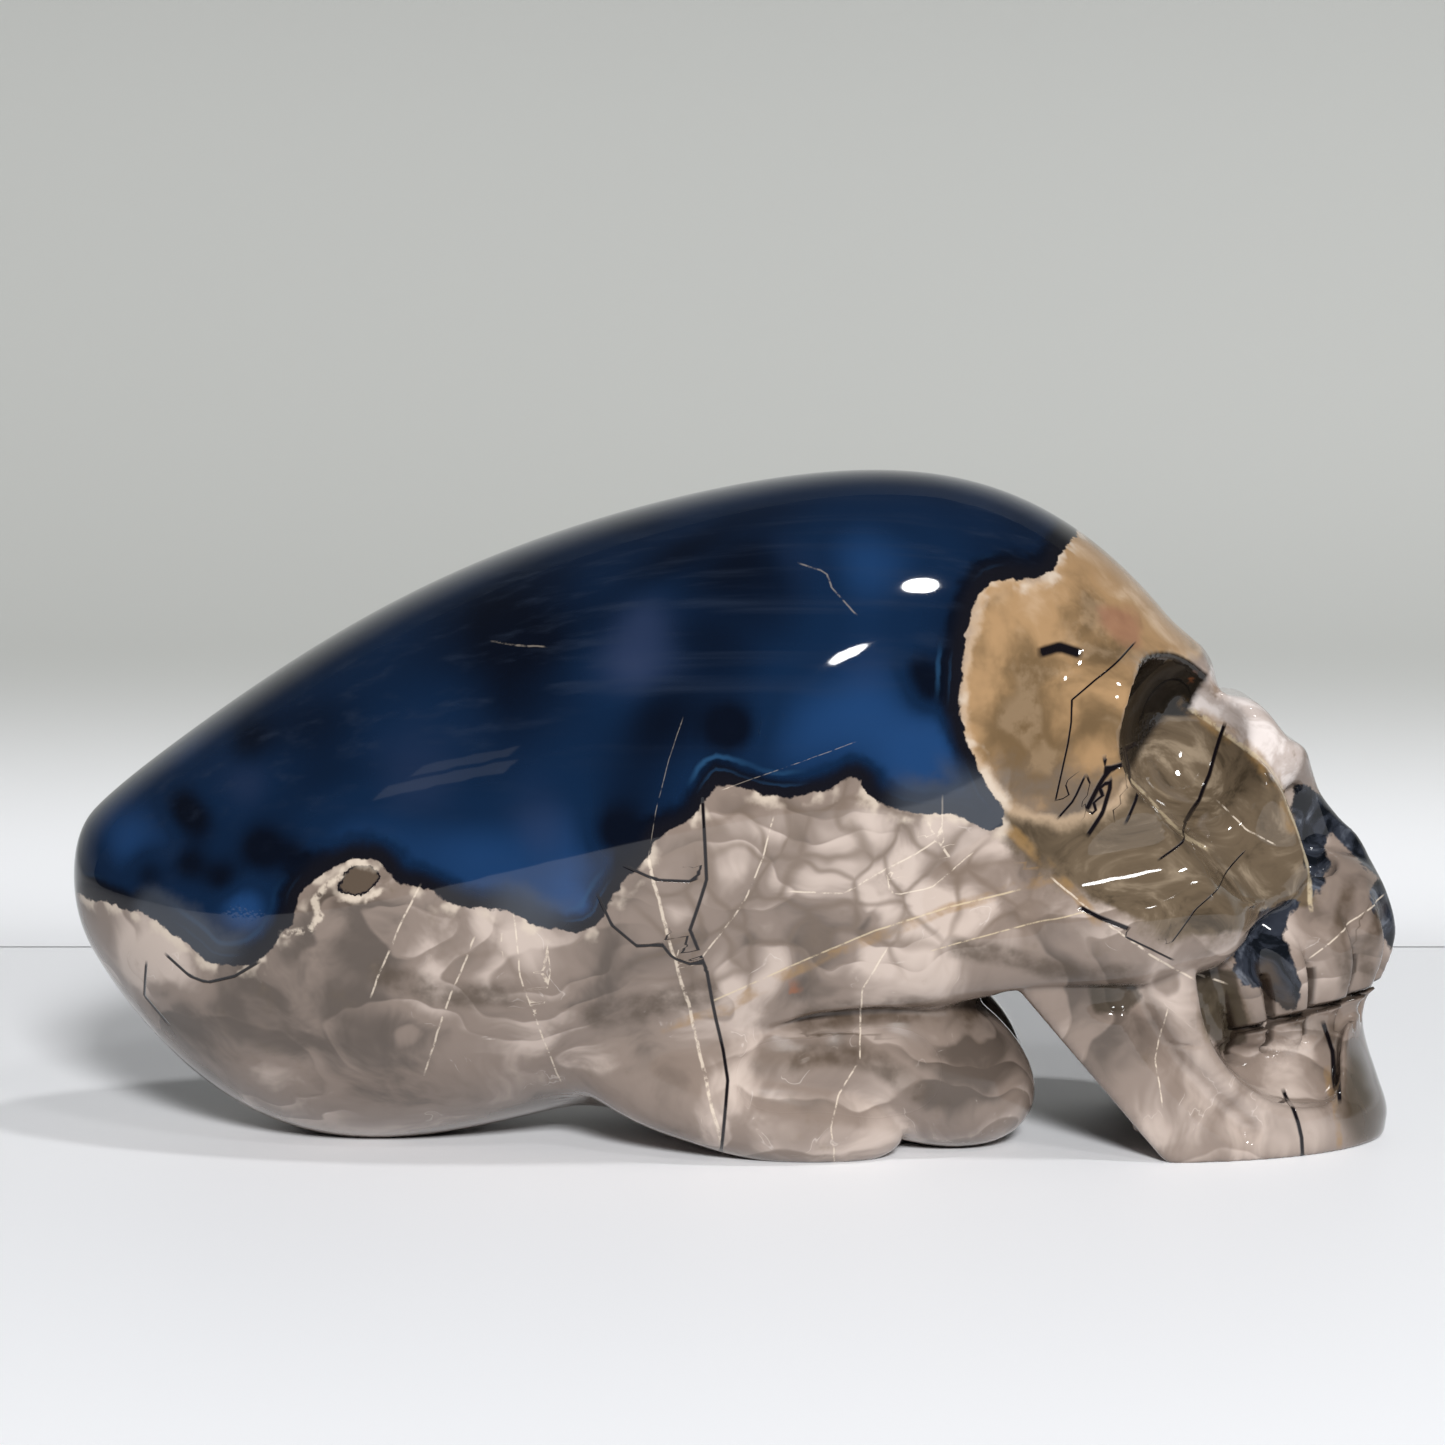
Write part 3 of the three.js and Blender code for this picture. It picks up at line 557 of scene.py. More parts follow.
fineLines = {  # half width in millimetres, then each line
    "crack": [
        (0.24, [(-4.9, 56), (-4.6, 50.2), (-4.4, 45.5), (-5.6, 41.6), (-6.9, 37.7), (-4.4, 31),
            (-3.6, 26.1), (-3, 22.8), (-1.9, 18), (-1.2, 13.5), (-2.1, 3)]),
        (0.2, [(-20.1, 41.8), (-18.7, 38.6), (-14.5, 34.8), (-11.4, 35.8), (-9.6, 33.2), (-5.4, 31.5)]),
        (0.2, [(-15, 47), (-12, 45.6), (-8, 45.4)]),
        (0.22, [(-86.9, 30.4), (-84.4, 28.4), (-81.6, 27.6), (-77, 29), (-74.5, 30.6)]),
        (0.2, [(-92, 28), (-92.6, 24), (-90, 21)]),
        (0.13, [(60.5, 78.6), (54.9, 74.7), (51.3, 71.7), (51.2, 68.2), (50.7, 64.8), (49.2, 57.9)]),
        (0.26, [(76.7, 64.3), (75.8, 61.4), (74.8, 58.2), (72.8, 54.4), (70, 51.6)]),
        (0.16, [(70.4, 52), (68.4, 49.6), (66.2, 48.2)]),
        (0.34, [(61.4, 62.6), (57, 61.4), (55.4, 58.8), (54.2, 56.4)]),
        (0.3, [(56.6, 61.4), (57.2, 58.9), (55.9, 54.6), (54.6, 52.6)]),
        (0.22, [(61.2, 61.4), (61.7, 58.6), (60.9, 56.4), (60.1, 54.6)]),
        (0.16, [(52.6, 58.6), (51.6, 56.4), (50.4, 55)]),
        (0.1, [(77.8, 46), (75.1, 43.8), (70, 39.9), (67.4, 36.4)]),
        (0.3, [(86.6, 7.4), (87.3, 5.5), (87.9, 3), (88.2, -1)]),
        (0.75, [(48, 79.2), (49.6, 79.6), (51.4, 79)]),
        (0.34, [(53.8, 39.8), (55.6, 38.9), (58.2, 37.9)]),
        (0.14, [(60.6, 35.4), (63, 34.2), (65.2, 33)]),
        (0.34, [(93.2, 17.6), (94.4, 14.4), (94.5, 9.4)]),
        (0.3, [(95.4, 62), (96, 56), (98, 52)]),
    ],
    "vein": [
        (0.1, [(5.1, 53.1), (3.9, 48.6), (1.4, 42.3), (-2.4, 36.8), (-5.4, 32.8)]),
        (0.1, [(10, 43.4), (16.4, 43), (19.1, 44.5), (21.7, 46.1), (27.7, 48.9), (31.4, 51.2),
            (31.4, 55.4)]),
        (0.11, [(-48.4, 42.9), (-50.8, 38.3), (-54.8, 28.7)]),
        (0.11, [(-40.2, 34.8), (-42.6, 29), (-44.2, 24.9), (-47.4, 15.5)]),
        (0.1, [(-33.3, 38.6), (-32.7, 30.7), (-29.9, 21.4), (-27.6, 13.7)]),
        (0.08, [(-28.5, 36), (-28, 31), (-28.9, 27)]),
        (0.19, [(-12.9, 47.7), (-11.4, 41.7), (-9.2, 32.9), (-7, 24.5), (-4.7, 13.5), (-2.4, 4)]),
        (0.45, [(-67.6, 36.2), (-65, 36.9), (-63.2, 39.2), (-63.9, 41.6), (-62.3, 43.7), (-61, 44.6)]),
        (0.12, [(49.8, 43.4), (54.6, 39.4), (63.1, 33.2), (69.8, 28.9), (74.8, 27)]),
        (0.1, [(15.3, 0), (14.6, 6), (15.8, 10.7), (19.1, 16.1), (19.3, 27.6), (22, 32.4)]),
        (0.1, [(11.6, 91.9), (13.8, 91.2), (14.6, 88.9), (17, 86.4)]),
        (0.1, [(-35.2, 80.3), (-33.6, 80.1), (-30.8, 80)]),
        (0.05, [(-8.6, 68), (-10, 64), (-12, 56), (-13, 50)]),
        (0.05, [(0, 60), (4, 61.4), (16, 65.4)]),
        (0.08, [(23.2, 44.6), (23.4, 42.3), (29.8, 43.4), (34.6, 47.2)]),
        (0.14, [(30, 52), (31.6, 49.4)]),
        (0.1, [(77, 53), (79.6, 50.4), (82.6, 48.8)]),
        (0.1, [(91.6, 31), (96.6, 35), (101.4, 37.6)]),
        (0.09, [(66, 22), (64.6, 16), (65.4, 11)]),
    ],
    # pale lines on edges and creases: partly pale stone, partly painted highlight where the edges catch the
    # light
    "paleLineAndHighlight": [
        (0.32, [(73, 67.6), (76.2, 65.3), (79.5, 62.9), (83, 60.2), (85.4, 56.7), (86.8, 53.2), (88, 50.6),
            (89.2, 47), (90.2, 43.5), (90.4, 38.4)]),
        (0.2, [(61.8, 57.9), (64.1, 55.6), (66.7, 52.6), (69.5, 50), (71.8, 48.7)]),
        (0.11, [(-2.4, 26.5), (9.8, 32.1), (20.9, 36.9), (32.6, 40.4), (42.1, 42.6)]),
        (0.09, [(31.2, 34.1), (45.4, 38), (52.9, 39.8)]),
    ],
    "shade": [  # painted shade: soft dark streaks along creases and under overhangs
        (1.3, [(6, 16.2), (15, 17.4), (22, 15.6), (26.6, 12.2)]),
        (1.5, [(13, 22.6), (20, 23.6), (28, 23.8), (35, 22.4)]),
        (1.1, [(36, 33.6), (43, 32.4), (50, 30.6), (58, 30)]),
        (1.6, [(-20, 24), (-12, 25.4), (-6, 27)]),
        (0.9, [(96, 38), (94.6, 33), (95.6, 28)]),
        (0.9, [(101.4, 34), (99.6, 30), (100, 26)]),
        (1, [(84, 26.4), (88, 20), (92, 18.4)]),
        (1.4, [(-52, 30), (-44, 27), (-36, 27.4)]),
    ],
    "rust": [
        (0.7, [(-9, 22.2), (-3, 24.2), (1.4, 26.1), (9.8, 31.2), (20.4, 35.5), (34.2, 40.7), (46, 44)]),
        (0.6, [(-0.9, 24.5), (3, 28.5), (8.3, 30.8)]),
        (1.1, [(72.4, 68.2), (76.6, 65), (81.5, 61.4), (85, 56.6), (86.9, 52)]),
        (0.5, [(93.6, 9.5), (94, 5), (94.6, -1)]),
        (0.8, [(43.4, 50.6), (50.4, 43.8), (54, 39.6)]),
    ],
}
clouds = {  # soft spots: x, z, radius, strength
    "glow": [(-79.7, 57, 9, 0.8), (-95, 48, 7, 0.8), (-61, 54, 9, 0.6), (-75.4, 39.6, 4, 1.6),
        (-40, 48, 9, 0.5), (-23.4, 42, 5, 1.2), (-23.3, 50, 8, 0.9), (-14.8, 82, 9, 0.6), (-17, 74, 6, 0.5),
        (20, 92, 6, 0.5), (20, 71, 9, 0.9), (10, 66, 8, 0.9), (31, 64, 8, 0.9), (-5, 60, 6, 0.6),
        (6.7, 75, 6, 0.3), (24, 61, 7, 0.7), (-86.3, 54.2, 3.4, -1.4), (-83, 52, 3, -0.9),
        (-91.4, 44, 3.4, -1.2), (-84.4, 46, 3, -1.2), (-78.8, 44, 2.8, -1.1), (-72.4, 49, 3.2, -1.1),
        (-67, 48, 2.6, -0.9), (-76, 65, 4, -0.7), (-36, 77.6, 11, -1), (-18, 52.8, 3.8, -1.3),
        (-21.8, 44.5, 2.6, -0.7), (-14, 50, 2.6, -0.8), (-13, 70.8, 6.5, -0.8), (-0.7, 68.3, 3.4, -1.4),
        (29.5, 73.6, 3, -1.3), (27.6, 77, 2.4, -0.9), (7.4, 90, 9, -0.9), (-6, 89, 9, -0.7),
        (-45, 62, 10, -0.4), (-60, 74, 10, -0.6), (3.7, 56.9, 3, -0.8), (-30, 62, 8, -0.3),
        (-64, 65, 9, -0.6)],
    "satin": [(4, 14, 15, 0.8), (26, 14, 13, 0.9)],
    # spots of painted grey reflection in the navy near its rim
    "paintedReflection": [(-82, 36, 7.5, 1), (-31, 41, 9, 0.7), (29.5, 57, 8, 0.8), (40, 54, 6, 1), (-90, 38, 5, 0.7)],
    "lilac": [(-15, 82, 7, 1.2), (-9, 76, 5, 0.8), (5, 91, 6, 0.6), (-75, 58, 6, 0.5), (-48, 60, 8, 0.5),
        (20, 76, 6, 0.4), (-30, 52, 6, 0.4)],
    # darker spots: partly smoky stone, partly painted shade low on the sides, under the arch and in the jaw
    # pit
    "smokeAndShade": [(-63, 24, 14, 0.9), (-50, 18, 10, 0.7), (-40, 24, 9, 0.4), (-18, 22, 13, 0.9),
        (-30, 24, 8, 0.8), (-80, 18, 9, 0.6), (-86, 22, 5, 0.6), (-74, 30, 7, 0.6), (-60, 34, 7, 0.5),
        (17, 16, 7, 0.8), (30, 18, 6, 1), (40, 14, 6, 1.3), (33, 9, 6, 1), (-20.7, 14.8, 5, -1.6),
        (-74, 13, 6, -0.9), (3.7, 50.8, 6, -0.6), (19, 48, 7, -0.6), (87, 14.5, 4, -1.2),
        (-30, 19, 5, -1.2), (18.9, 30.9, 5, 0.5), (53, 25, 4, 0.6), (68.5, 11.2, 4, 0.9), (43, 63, 6, 1.2),
        (41, 57, 5, 0.7), (56, 68, 4, 0.6), (76.3, 4.9, 4, -0.8), (62, 16, 4, 0.6), (98, 8, 5, 0.7),
        (57, 16, 5, 0.9), (57, 25.5, 4.4, 1.5), (50, 31, 5, 0.8), (58, 31.5, 6, 0.6), (60, 10, 5, 0.5),
        (24, 23, 7, 0.4), (45, 34, 5, 0.3), (34, 12, 9, 0.7), (10, 8, 8, 0.6), (-35, 8, 14, 0.5),
        (-44, 38, 5, -1), (-35, 35, 6, -0.9), (-45, 29, 4.5, -0.9), (-29, 31, 6, -0.6), (-2, 40, 12, -0.7),
        (16, 50, 12, -0.9), (30, 46, 12, -0.8), (25, 32, 7, -0.8), (-2, 12, 6, -0.5), (-93, 30, 5, -1.4),
        (-84, 28, 3.4, -1.2), (-88, 32, 4, -0.8), (74, 14, 4, -0.5), (78, 9, 5, -0.4), (95, 34, 7, 0.5),
        (86, 24, 5, 0.2), (98, 20, 6, 0.6), (90, 4, 4, -0.3), (87, 14, 5, -0.3), (74, 24, 3, 0.9)],
    "olive": [(58, 51, 11, 1), (50, 55, 8, 0.8), (70, 50, 10, 0.8), (80, 52, 9, 0.7), (66, 43, 8, 0.8),
        (45, 54, 7, 0.6), (76, 40, 7, 0.5), (69, 66, 10, 1), (98, 8, 6, 0.4), (75.5, 22, 4.4, 1.1)],
    "pebble": [(8, 44, 17, 1), (26, 46, 13, 1), (-8, 36, 10, 0.6), (-38, 32, 12, 0.5), (44, 40, 8, 0.5)],
    "rough": [(84.6, 14.4, 2.6, 1), (88.4, 16, 2, 0.8), (92.6, 7, 1.5, 1), (65.6, 63, 3, 1),
        (63, 59, 1.4, 0.8), (41, 45, 4, 0.35), (-75.4, 39, 1.6, 1), (10, 72.5, 3, 0.12)],
    "pink": [(61, 82, 3.4, 0.7), (58, 84, 2.4, 0.4)],
    "orange": [(49.6, 77.6, 1.7, 1.1), (72, 73.5, 2, 0.6), (-2, 22.6, 1.6, 0.7), (8, 27, 3.4, 0.6)],
}


# Signed side of the nearest of many lines over that line's own half width, and how near it is.
def nearestLine(u, v, lines):
    side, near = np.full(len(u), 99.0), np.full(len(u), 99.0)
    for half, points in lines:
        for a, b in zip(points, points[1:]):
            distance = np.hypot(*fromStretch(u, v, a, b))
            closer = distance < near
            near = np.where(closer, distance, near)
            side = np.where(closer, leftOf(u, v, a, b) / half, side)
    return side, near


def cloudValue(u, v, spots):
    total = np.zeros(len(u))
    for x, z, radius, strength in spots:
        total += strength * np.exp(-((u - x) ** 2 + (v - z) ** 2) / radius ** 2)
    return total


# Distance to the nearest saw cut or bite line, far away where there are none.
def toothGaps(x, y, z):
    ring, turn = toothRing(x, y, z)
    above = z - biteHeight(x)
    cut = cutDistance(x, z, turn) + 9 * easeBetween(5.6, 7.2, np.abs(above - teeth["cutMiddle"]))
    deep, inFront = easeBetween(-3.4, -4.4, ring), easeBetween(76.6, 75.6, x)
    return np.minimum(np.abs(above), cut) + 9 * (deep + inFront + easeBetween(1.5, 3, ring))


# The drawing as one number per point and layer, which the stone's material reads by name.
def stoneDrawing(points):
    x, y, z = points.T

    def inside(name, passes=0):
        return -outlineForm(x, z, rounded(drawing[name], passes))

    far = easeBetween(-drawing["blueTurn"], drawing["blueTurn"], y)
    layers = {"blue": inside("blueNear", 1) * (1 - far) + inside("blueFar", 2) * far}
    for name, passes in (("gold", 1), ("cheek", 1), ("nasal", 0), ("chin", 0)):
        layers[name] = inside(name, passes)
    patches = ("nosePatch", "lipPatch", "gumPatch", "nostrilPatch")
    layers["glassy"] = np.max([inside(name) for name in patches], axis=0)
    # painted shade in the mouth's recess and in the jaw pit
    layers["mouthPaintedShade"] = np.maximum(np.minimum(inside("mouthShadePatch"), 26 - np.abs(y)), inside("jawPitShade"))
    layers["eye"] = np.where(y < 0, -inside("eye"), 9)
    along = np.where(y < 0, x, drawing["farFrom"] + (x - drawing["farFrom"]) * drawing["farScale"])
    for name, lines in fineLines.items():
        layers[name + "Side"], layers[name + "Near"] = nearestLine(along, z, lines)
    for name, spots in clouds.items():
        layers[name] = cloudValue(along, z, spots)
    layers["socket"] = np.abs(oval(x, np.abs(y), z, **ovals["socket"]))
    # distance for the residue and painted shade in the saw cuts and bite line
    layers["gap"] = toothGaps(x, np.abs(y), z)
    return layers


def addLayers(thing, layers):
    for name, values in layers.items():
        layer = thing.data.attributes.new(name, "FLOAT", "POINT")
        layer.data.foreach_set("value", values.astype(np.float32))


# Shorthand for shader trees: a node with its settings, then its inputs by name or number.
def addNode(tree, kind, inputs=None, **settings):
    node = tree.nodes.new("ShaderNode" + kind)
    for key, value in settings.items():
        setattr(node, key, value)
    for key, value in (inputs or {}).items():
        if isinstance(value, bpy.types.NodeSocket):
            tree.links.new(value, node.inputs[key])
        else:
            node.inputs[key].default_value = value
    return node


# The shorthand below finds its shader tree from the sockets it is given.
def calc(operation, *values):
    tree = next(v.id_data for v in values if isinstance(v, bpy.types.NodeSocket))
    return addNode(tree, "Math", dict(enumerate(values)), operation=operation).outputs[0]


def times(a, b):
    return calc("MULTIPLY", a, b)


def minus(a, b):
    return calc("SUBTRACT", a, b)


# A value times a factor, plus another.
def scaled(value, factor, added):
    return calc("MULTIPLY_ADD", value, factor, added)


# 0 where value is below low, 1 above high, eased between; low may be the larger.
def stepped(value, low, high):
    return addNode(value.id_data, "MapRange", {"Value": value, "From Min": low, "From Max": high},
                   interpolation_type="SMOOTHSTEP").outputs["Result"]


def mixed(share, a, b):
    a, b = (v if isinstance(v, bpy.types.NodeSocket) else (*v, 1) for v in (a, b))
    return addNode(share.id_data, "Mix", {0: share, 6: a, 7: b}, data_type="RGBA").outputs[2]


def noise(place, scale, detail=3, rough=0.55, twist=0.0):
    return addNode(place.id_data, "TexNoise", {"Vector": place, "Scale": scale, "Detail": detail,
                                               "Roughness": rough, "Distortion": twist}).outputs["Fac"]


def cells(place, scale, feature):
    return addNode(place.id_data, "TexVoronoi", {"Vector": place, "Scale": scale},
                   feature=feature).outputs["Distance"]


def layerValue(tree, name):
    return addNode(tree, "Attribute", attribute_name=name).outputs["Fac"]


def newGroup(name, inputs, outputs):
    group = bpy.data.node_groups.new(name, "ShaderNodeTree")
    for direction, sockets in (("INPUT", inputs), ("OUTPUT", outputs)):
        for socket, kind in sockets.items():
            group.interface.new_socket(socket, in_out=direction, socket_type="NodeSocket" + kind)
    return group, group.nodes.new("NodeGroupInput").outputs, group.nodes.new("NodeGroupOutput").inputs


# Place on the stone in millimetres, a noise around 0 that makes drawn lines look grown, and the place pushed
# about for clouds and cells.
def placeGroup():
    group, _, out = newGroup("stone place", {}, {"Place": "Vector", "Wander": "Float", "Bent": "Vector"})
    spot = addNode(group, "TexCoord").outputs["Object"]
    place = addNode(group, "VectorMath", {0: spot, 3: 1000.0}, operation="SCALE").outputs[0]
    push = addNode(group, "TexNoise", {"Vector": place, "Scale": pattern["pushScale"], "Detail": 2.0})
    push = addNode(group, "VectorMath", {0: push.outputs["Color"], 3: pattern["push"]}, operation="SCALE")
    bent = addNode(group, "VectorMath", {0: place, 1: push.outputs[0]}, operation="ADD").outputs[0]
    group.links.new(place, out["Place"])
    group.links.new(minus(noise(place, pattern["wanderScale"], 4, 0.6), 0.5), out["Wander"])
    group.links.new(bent, out["Bent"])
    return group


# Mask of drawn lines: 1 near the middle of a line, 0 from soft half widths on, and 0 out of its reach.
def lineGroup():
    inputs = dict.fromkeys(("Side", "Near", "Wander", "Soft", "Reach"), "Float")
    group, given, out = newGroup("drawn line", inputs, {"Mask": "Float"})
    moved = calc("ABSOLUTE", calc("ADD", given["Side"], given["Wander"]))
    ends = {"To Min": 1.0, "To Max": 0.0}
    width = addNode(group, "MapRange", {"Value": moved, "From Min": 0.6, "From Max": given["Soft"], **ends},
                    interpolation_type="SMOOTHSTEP")
    close = addNode(group, "MapRange", {"Value": given["Near"], "From Min": times(given["Reach"], 0.6),
                                        "From Max": given["Reach"], **ends})
    group.links.new(times(width.outputs[0], close.outputs[0]), out["Mask"])
    return group


# Cloudy colour of three shades: dark, middle and light, laid out by a value from 0 to 1.
def threeShades(value, name, low=0.3, high=0.7):
    dark, middle, light = (stoneColours[name + shade] for shade in ("Dark", "", "Light"))
    half = (low + high) / 2
    return mixed(stepped(value, half, high), mixed(stepped(value, low, half), dark, middle), light)


stoneColours = {
    "navyDark": (0.0009, 0.0022, 0.0065), "navy": (0.0024, 0.0110, 0.0330),
    "navyLight": (0.0080, 0.0330, 0.0980), "lilac": (0.0230, 0.0330, 0.0720),
    "streak": (0.0200, 0.0290, 0.0500), "paintedReflection": (0.040, 0.047, 0.060), "bandBlue": (0.014, 0.050, 0.110),
    "rim": (0.0040, 0.0040, 0.0065), "cream": (0.46, 0.39, 0.32),
    "beigeDark": (0.070, 0.054, 0.044), "beige": (0.170, 0.132, 0.110), "beigeLight": (0.380, 0.315, 0.275),
    "seam": (0.12, 0.088, 0.066), "white": (0.54, 0.48, 0.44),
    "goldDark": (0.110, 0.070, 0.035), "gold": (0.270, 0.168, 0.085), "goldLight": (0.410, 0.300, 0.200),
    "lilacGrey": (0.110, 0.090, 0.075),
    "oliveDark": (0.040, 0.029, 0.018), "olive": (0.092, 0.067, 0.043), "oliveLight": (0.200, 0.155, 0.108),
    "nasalDark": (0.18, 0.135, 0.105), "nasal": (0.36, 0.31, 0.285), "nasalLight": (0.52, 0.47, 0.45),
    "glassDark": (0.003, 0.004, 0.006), "glass": (0.018, 0.021, 0.029), "glassLight": (0.085, 0.094, 0.115),
    "chin": (0.036, 0.025, 0.014), "rust": (0.22, 0.130, 0.050), "crack": (0.004, 0.003, 0.004),
    "shade": (0.050, 0.034, 0.022), "vein": (0.56, 0.48, 0.39), "paleLineAndHighlight": (0.50, 0.41, 0.27),
    "pink": (0.22, 0.105, 0.065), "orange": (0.22, 0.070, 0.025), "mouthPaintedShade": (0.030, 0.024, 0.016),
    "eye": (0.075, 0.055, 0.040), "socketPaintedShade": (0.004, 0.0035, 0.003), "gap": (0.020, 0.013, 0.009),
}
pattern = {  # scales are per millimetre, so 0.1 gives forms of 10 mm
    "wanderScale": 0.16, "raggedScale": 0.6, "grainScale": 0.25, "fleckScale": 0.21,
    "pushScale": 0.07, "push": 11.0,
    "navyScale": 0.036, "tintScale": 0.05, "streakTilt": -14, "streakScale": (0.004, 0.3, 0.34),
    "paleScale": 0.05, "foldScale": 0.036, "folds": 9.0, "foldedScale": 0.028, "pebbleScale": 0.13,
    "goldScale": 0.09, "petalScale": 0.1,
    "polish": 0.045, "satinMore": 0.3, "crumbScale": 1.3, "crumbHeight": 1.6, "bumpDistance": 0.00025,
    "bumpStrength": 0.6, "refraction": 1.5,
}
cloudy = {  # noise scale, twist, where dark ends and light is full
    "olive": (0.085, 1.6, 0.3, 0.72), "nasal": (0.11, 1.0, 0.3, 0.6), "glass": (0.16, 1.5, 0.4, 0.72),
}
patchEdges = {  # push by wander and by ragged noise, outer and inner edge, strength
    "cheek": (1.6, 0, -0.5, 0.5, 1), "gold": (5.0, 0, -1.5, 1.5, 1), "mouthPaintedShade": (3.0, 0, -0.3, 0.5, 0.8),
    "nasal": (3.0, 0, -0.4, 0.8, 1), "glassy": (4.0, 1.6, -0.25, 0.25, 1), "chin": (0, 0, -1.5, 2.5, 0.85),
}
lineLooks = {  # push by wander, half widths to the edge, reach in millimetres
    "rust": (2.4, 1.6, 3.0), "shade": (1.6, 2.2, 4.5), "paleLineAndHighlight": (3.0, 1.8, 1.6), "vein": (6.0, 1.9, 2.4),
    "crack": (0, 1.5, 2.2),  # no noise in it, because the bump works it out three times
}


# Navy part: cloudy, darker along its rim, with a thin band that follows the rim and streaks along the stone,
# and a painted grey reflection in spots near the rim.
def navyColour(tree, place, depth, wander):
    c = stoneColours
    split = addNode(tree, "SeparateXYZ", {0: place}).outputs
    value = scaled(minus(noise(place, pattern["navyScale"], 1, 0.4, 0.3), 0.5), 0.8, 0.47)
    value = scaled(layerValue(tree, "glow"), 0.26, value)
    value = minus(value, times(stepped(depth, 4.5, 1.0), 0.3))
    value = minus(value, times(stepped(depth, 24.0, 44.0), 0.16))
    colour = threeShades(value, "navy", 0.2, 0.86)
    tint = scaled(noise(place, pattern["tintScale"], 1, 0.4), 0.9, layerValue(tree, "lilac"))
    tint = times(stepped(tint, 0.5, 1.5), stepped(value, 0.3, 0.6))
    colour = mixed(times(tint, 0.8), colour, c["lilac"])
    tilt = (0.0, math.radians(pattern["streakTilt"]), 0.0)
    lay = addNode(tree, "Mapping", {"Vector": place, "Rotation": tilt, "Scale": pattern["streakScale"]})
    high = stepped(scaled(split[0], -0.25, split[2]), 62.0, 84.0)
    streaks = stepped(noise(lay.outputs[0], 1.0, 3, 0.6), 0.48, 0.86)
    streaks = times(streaks, scaled(high, 0.34, 0.06))
    colour = mixed(streaks, colour, c["streak"])
    ripple = scaled(wander, 1.6, layerValue(tree, "blue"))
    band = times(stepped(ripple, 3.0, 3.5), stepped(ripple, 4.2, 3.6))
    second = times(stepped(ripple, 1.4, 1.6), stepped(ripple, 2.1, 1.7))
    seen = times(stepped(noise(place, 0.055, 1), 0.46, 0.66), 0.7)
    colour = mixed(stepped(ripple, 3.2, 0.6), colour, c["rim"])
    colour = mixed(times(scaled(second, 0.45, band), seen), colour, c["bandBlue"])
    # painted grey reflection near the rim
    reflectionShare = times(stepped(layerValue(tree, "paintedReflection"), 0.25, 0.8), stepped(depth, 6.5, 3.5))
    return mixed(times(reflectionShare, 0.7), colour, c["paintedReflection"])


# Pale part: taupe clouds in scalloped layers, darker at the drawing's smoke spots (smoky stone, and painted
# shade low down, under the arch and in the jaw pit), with pebble shapes in places.
def paleColour(tree, place, bent, wander):
    c = stoneColours
    soft = noise(bent, pattern["paleScale"], 4, 0.55, 0.6)
    laid = addNode(tree, "Mapping", {"Vector": bent, "Scale": (0.7, 0.8, 1.4)}).outputs[0]
    fold = calc("FRACT", times(noise(laid, pattern["foldScale"], 1, 0.4), pattern["folds"]))
    fold = times(fold, stepped(fold, 1.0, 0.88))
    folded = times(stepped(noise(place, pattern["foldedScale"], 1, 0.4), 0.36, 0.6), 0.3)
    value = scaled(minus(soft, 0.5), 1.5, 0.5)
    value = scaled(minus(fold, 0.42), folded, value)
    value = minus(value, times(layerValue(tree, "smokeAndShade"), 0.2))
    pebbly = stepped(layerValue(tree, "pebble"), 0.1, 0.9)
    stones = scaled(cells(bent, pattern["pebbleScale"], "F1"), -0.8, 0.34)
    colour = threeShades(calc("ADD", value, times(pebbly, stones)), "beige", 0.06, 0.84)
    edge = stepped(cells(bent, pattern["pebbleScale"], "DISTANCE_TO_EDGE"), 0.11, 0.0)
    colour = mixed(times(edge, times(pebbly, 0.6)), colour, c["seam"])
    contour = stepped(calc("ABSOLUTE", minus(soft, 0.58)), 0.006, 0.0)
    contour = times(contour, stepped(wander, 0.02, 0.12))
    return mixed(times(contour, 0.35), colour, c["white"])


# Gold part: petals of glassy stone with pale edges, a pale border and greyer at the bottom.
def goldenColour(tree, place, bent, inward, wander):
    c = stoneColours
    petal = cells(bent, pattern["petalScale"], "F1")
    value = scaled(noise(bent, pattern["goldScale"], 4, 0.55), 0.9, 0.08)
    value = scaled(minus(petal, 0.4), -0.3, value)
    value = scaled(layerValue(tree, "smokeAndShade"), -0.3, value)
    colour = threeShades(value, "gold", 0.28, 0.82)
    lip = times(stepped(petal, 0.5, 0.66), stepped(wander, -0.04, 0.12))
    colour = mixed(times(lip, 0.2), colour, c["goldLight"])
    height = addNode(tree, "SeparateXYZ", {0: place}).outputs[2]
    low = stepped(scaled(wander, 26.0, height), 66.0, 54.0)
    colour = mixed(times(low, 0.8), colour, c["lilacGrey"])
    colour = mixed(times(stepped(inward, 1.9, 0.3), 0.8), colour, c["goldLight"])
    spot = scaled(wander, 0.8, layerValue(tree, "pink"))
    return mixed(times(stepped(spot, 0.2, 0.6), 0.7), colour, c["pink"])


# Socket: painted shade, black above a level line and in its lower back corner.
def paintedSocketShade(tree, place, wander):
    split = addNode(tree, "SeparateXYZ", {0: place}).outputs
    inside = stepped(layerValue(tree, "socket"), 1.3, 0.4)
    upper = stepped(scaled(wander, 0.8, split[2]), 66.6, 67.4)
    upper = times(upper, stepped(scaled(wander, 12.0, split[0]), 78.5, 74.0))
    corner = stepped(scaled(split[2], -0.75, split[0]), 18.6, 16.6)
    return times(times(inside, calc("MAXIMUM", upper, corner)), 0.96)


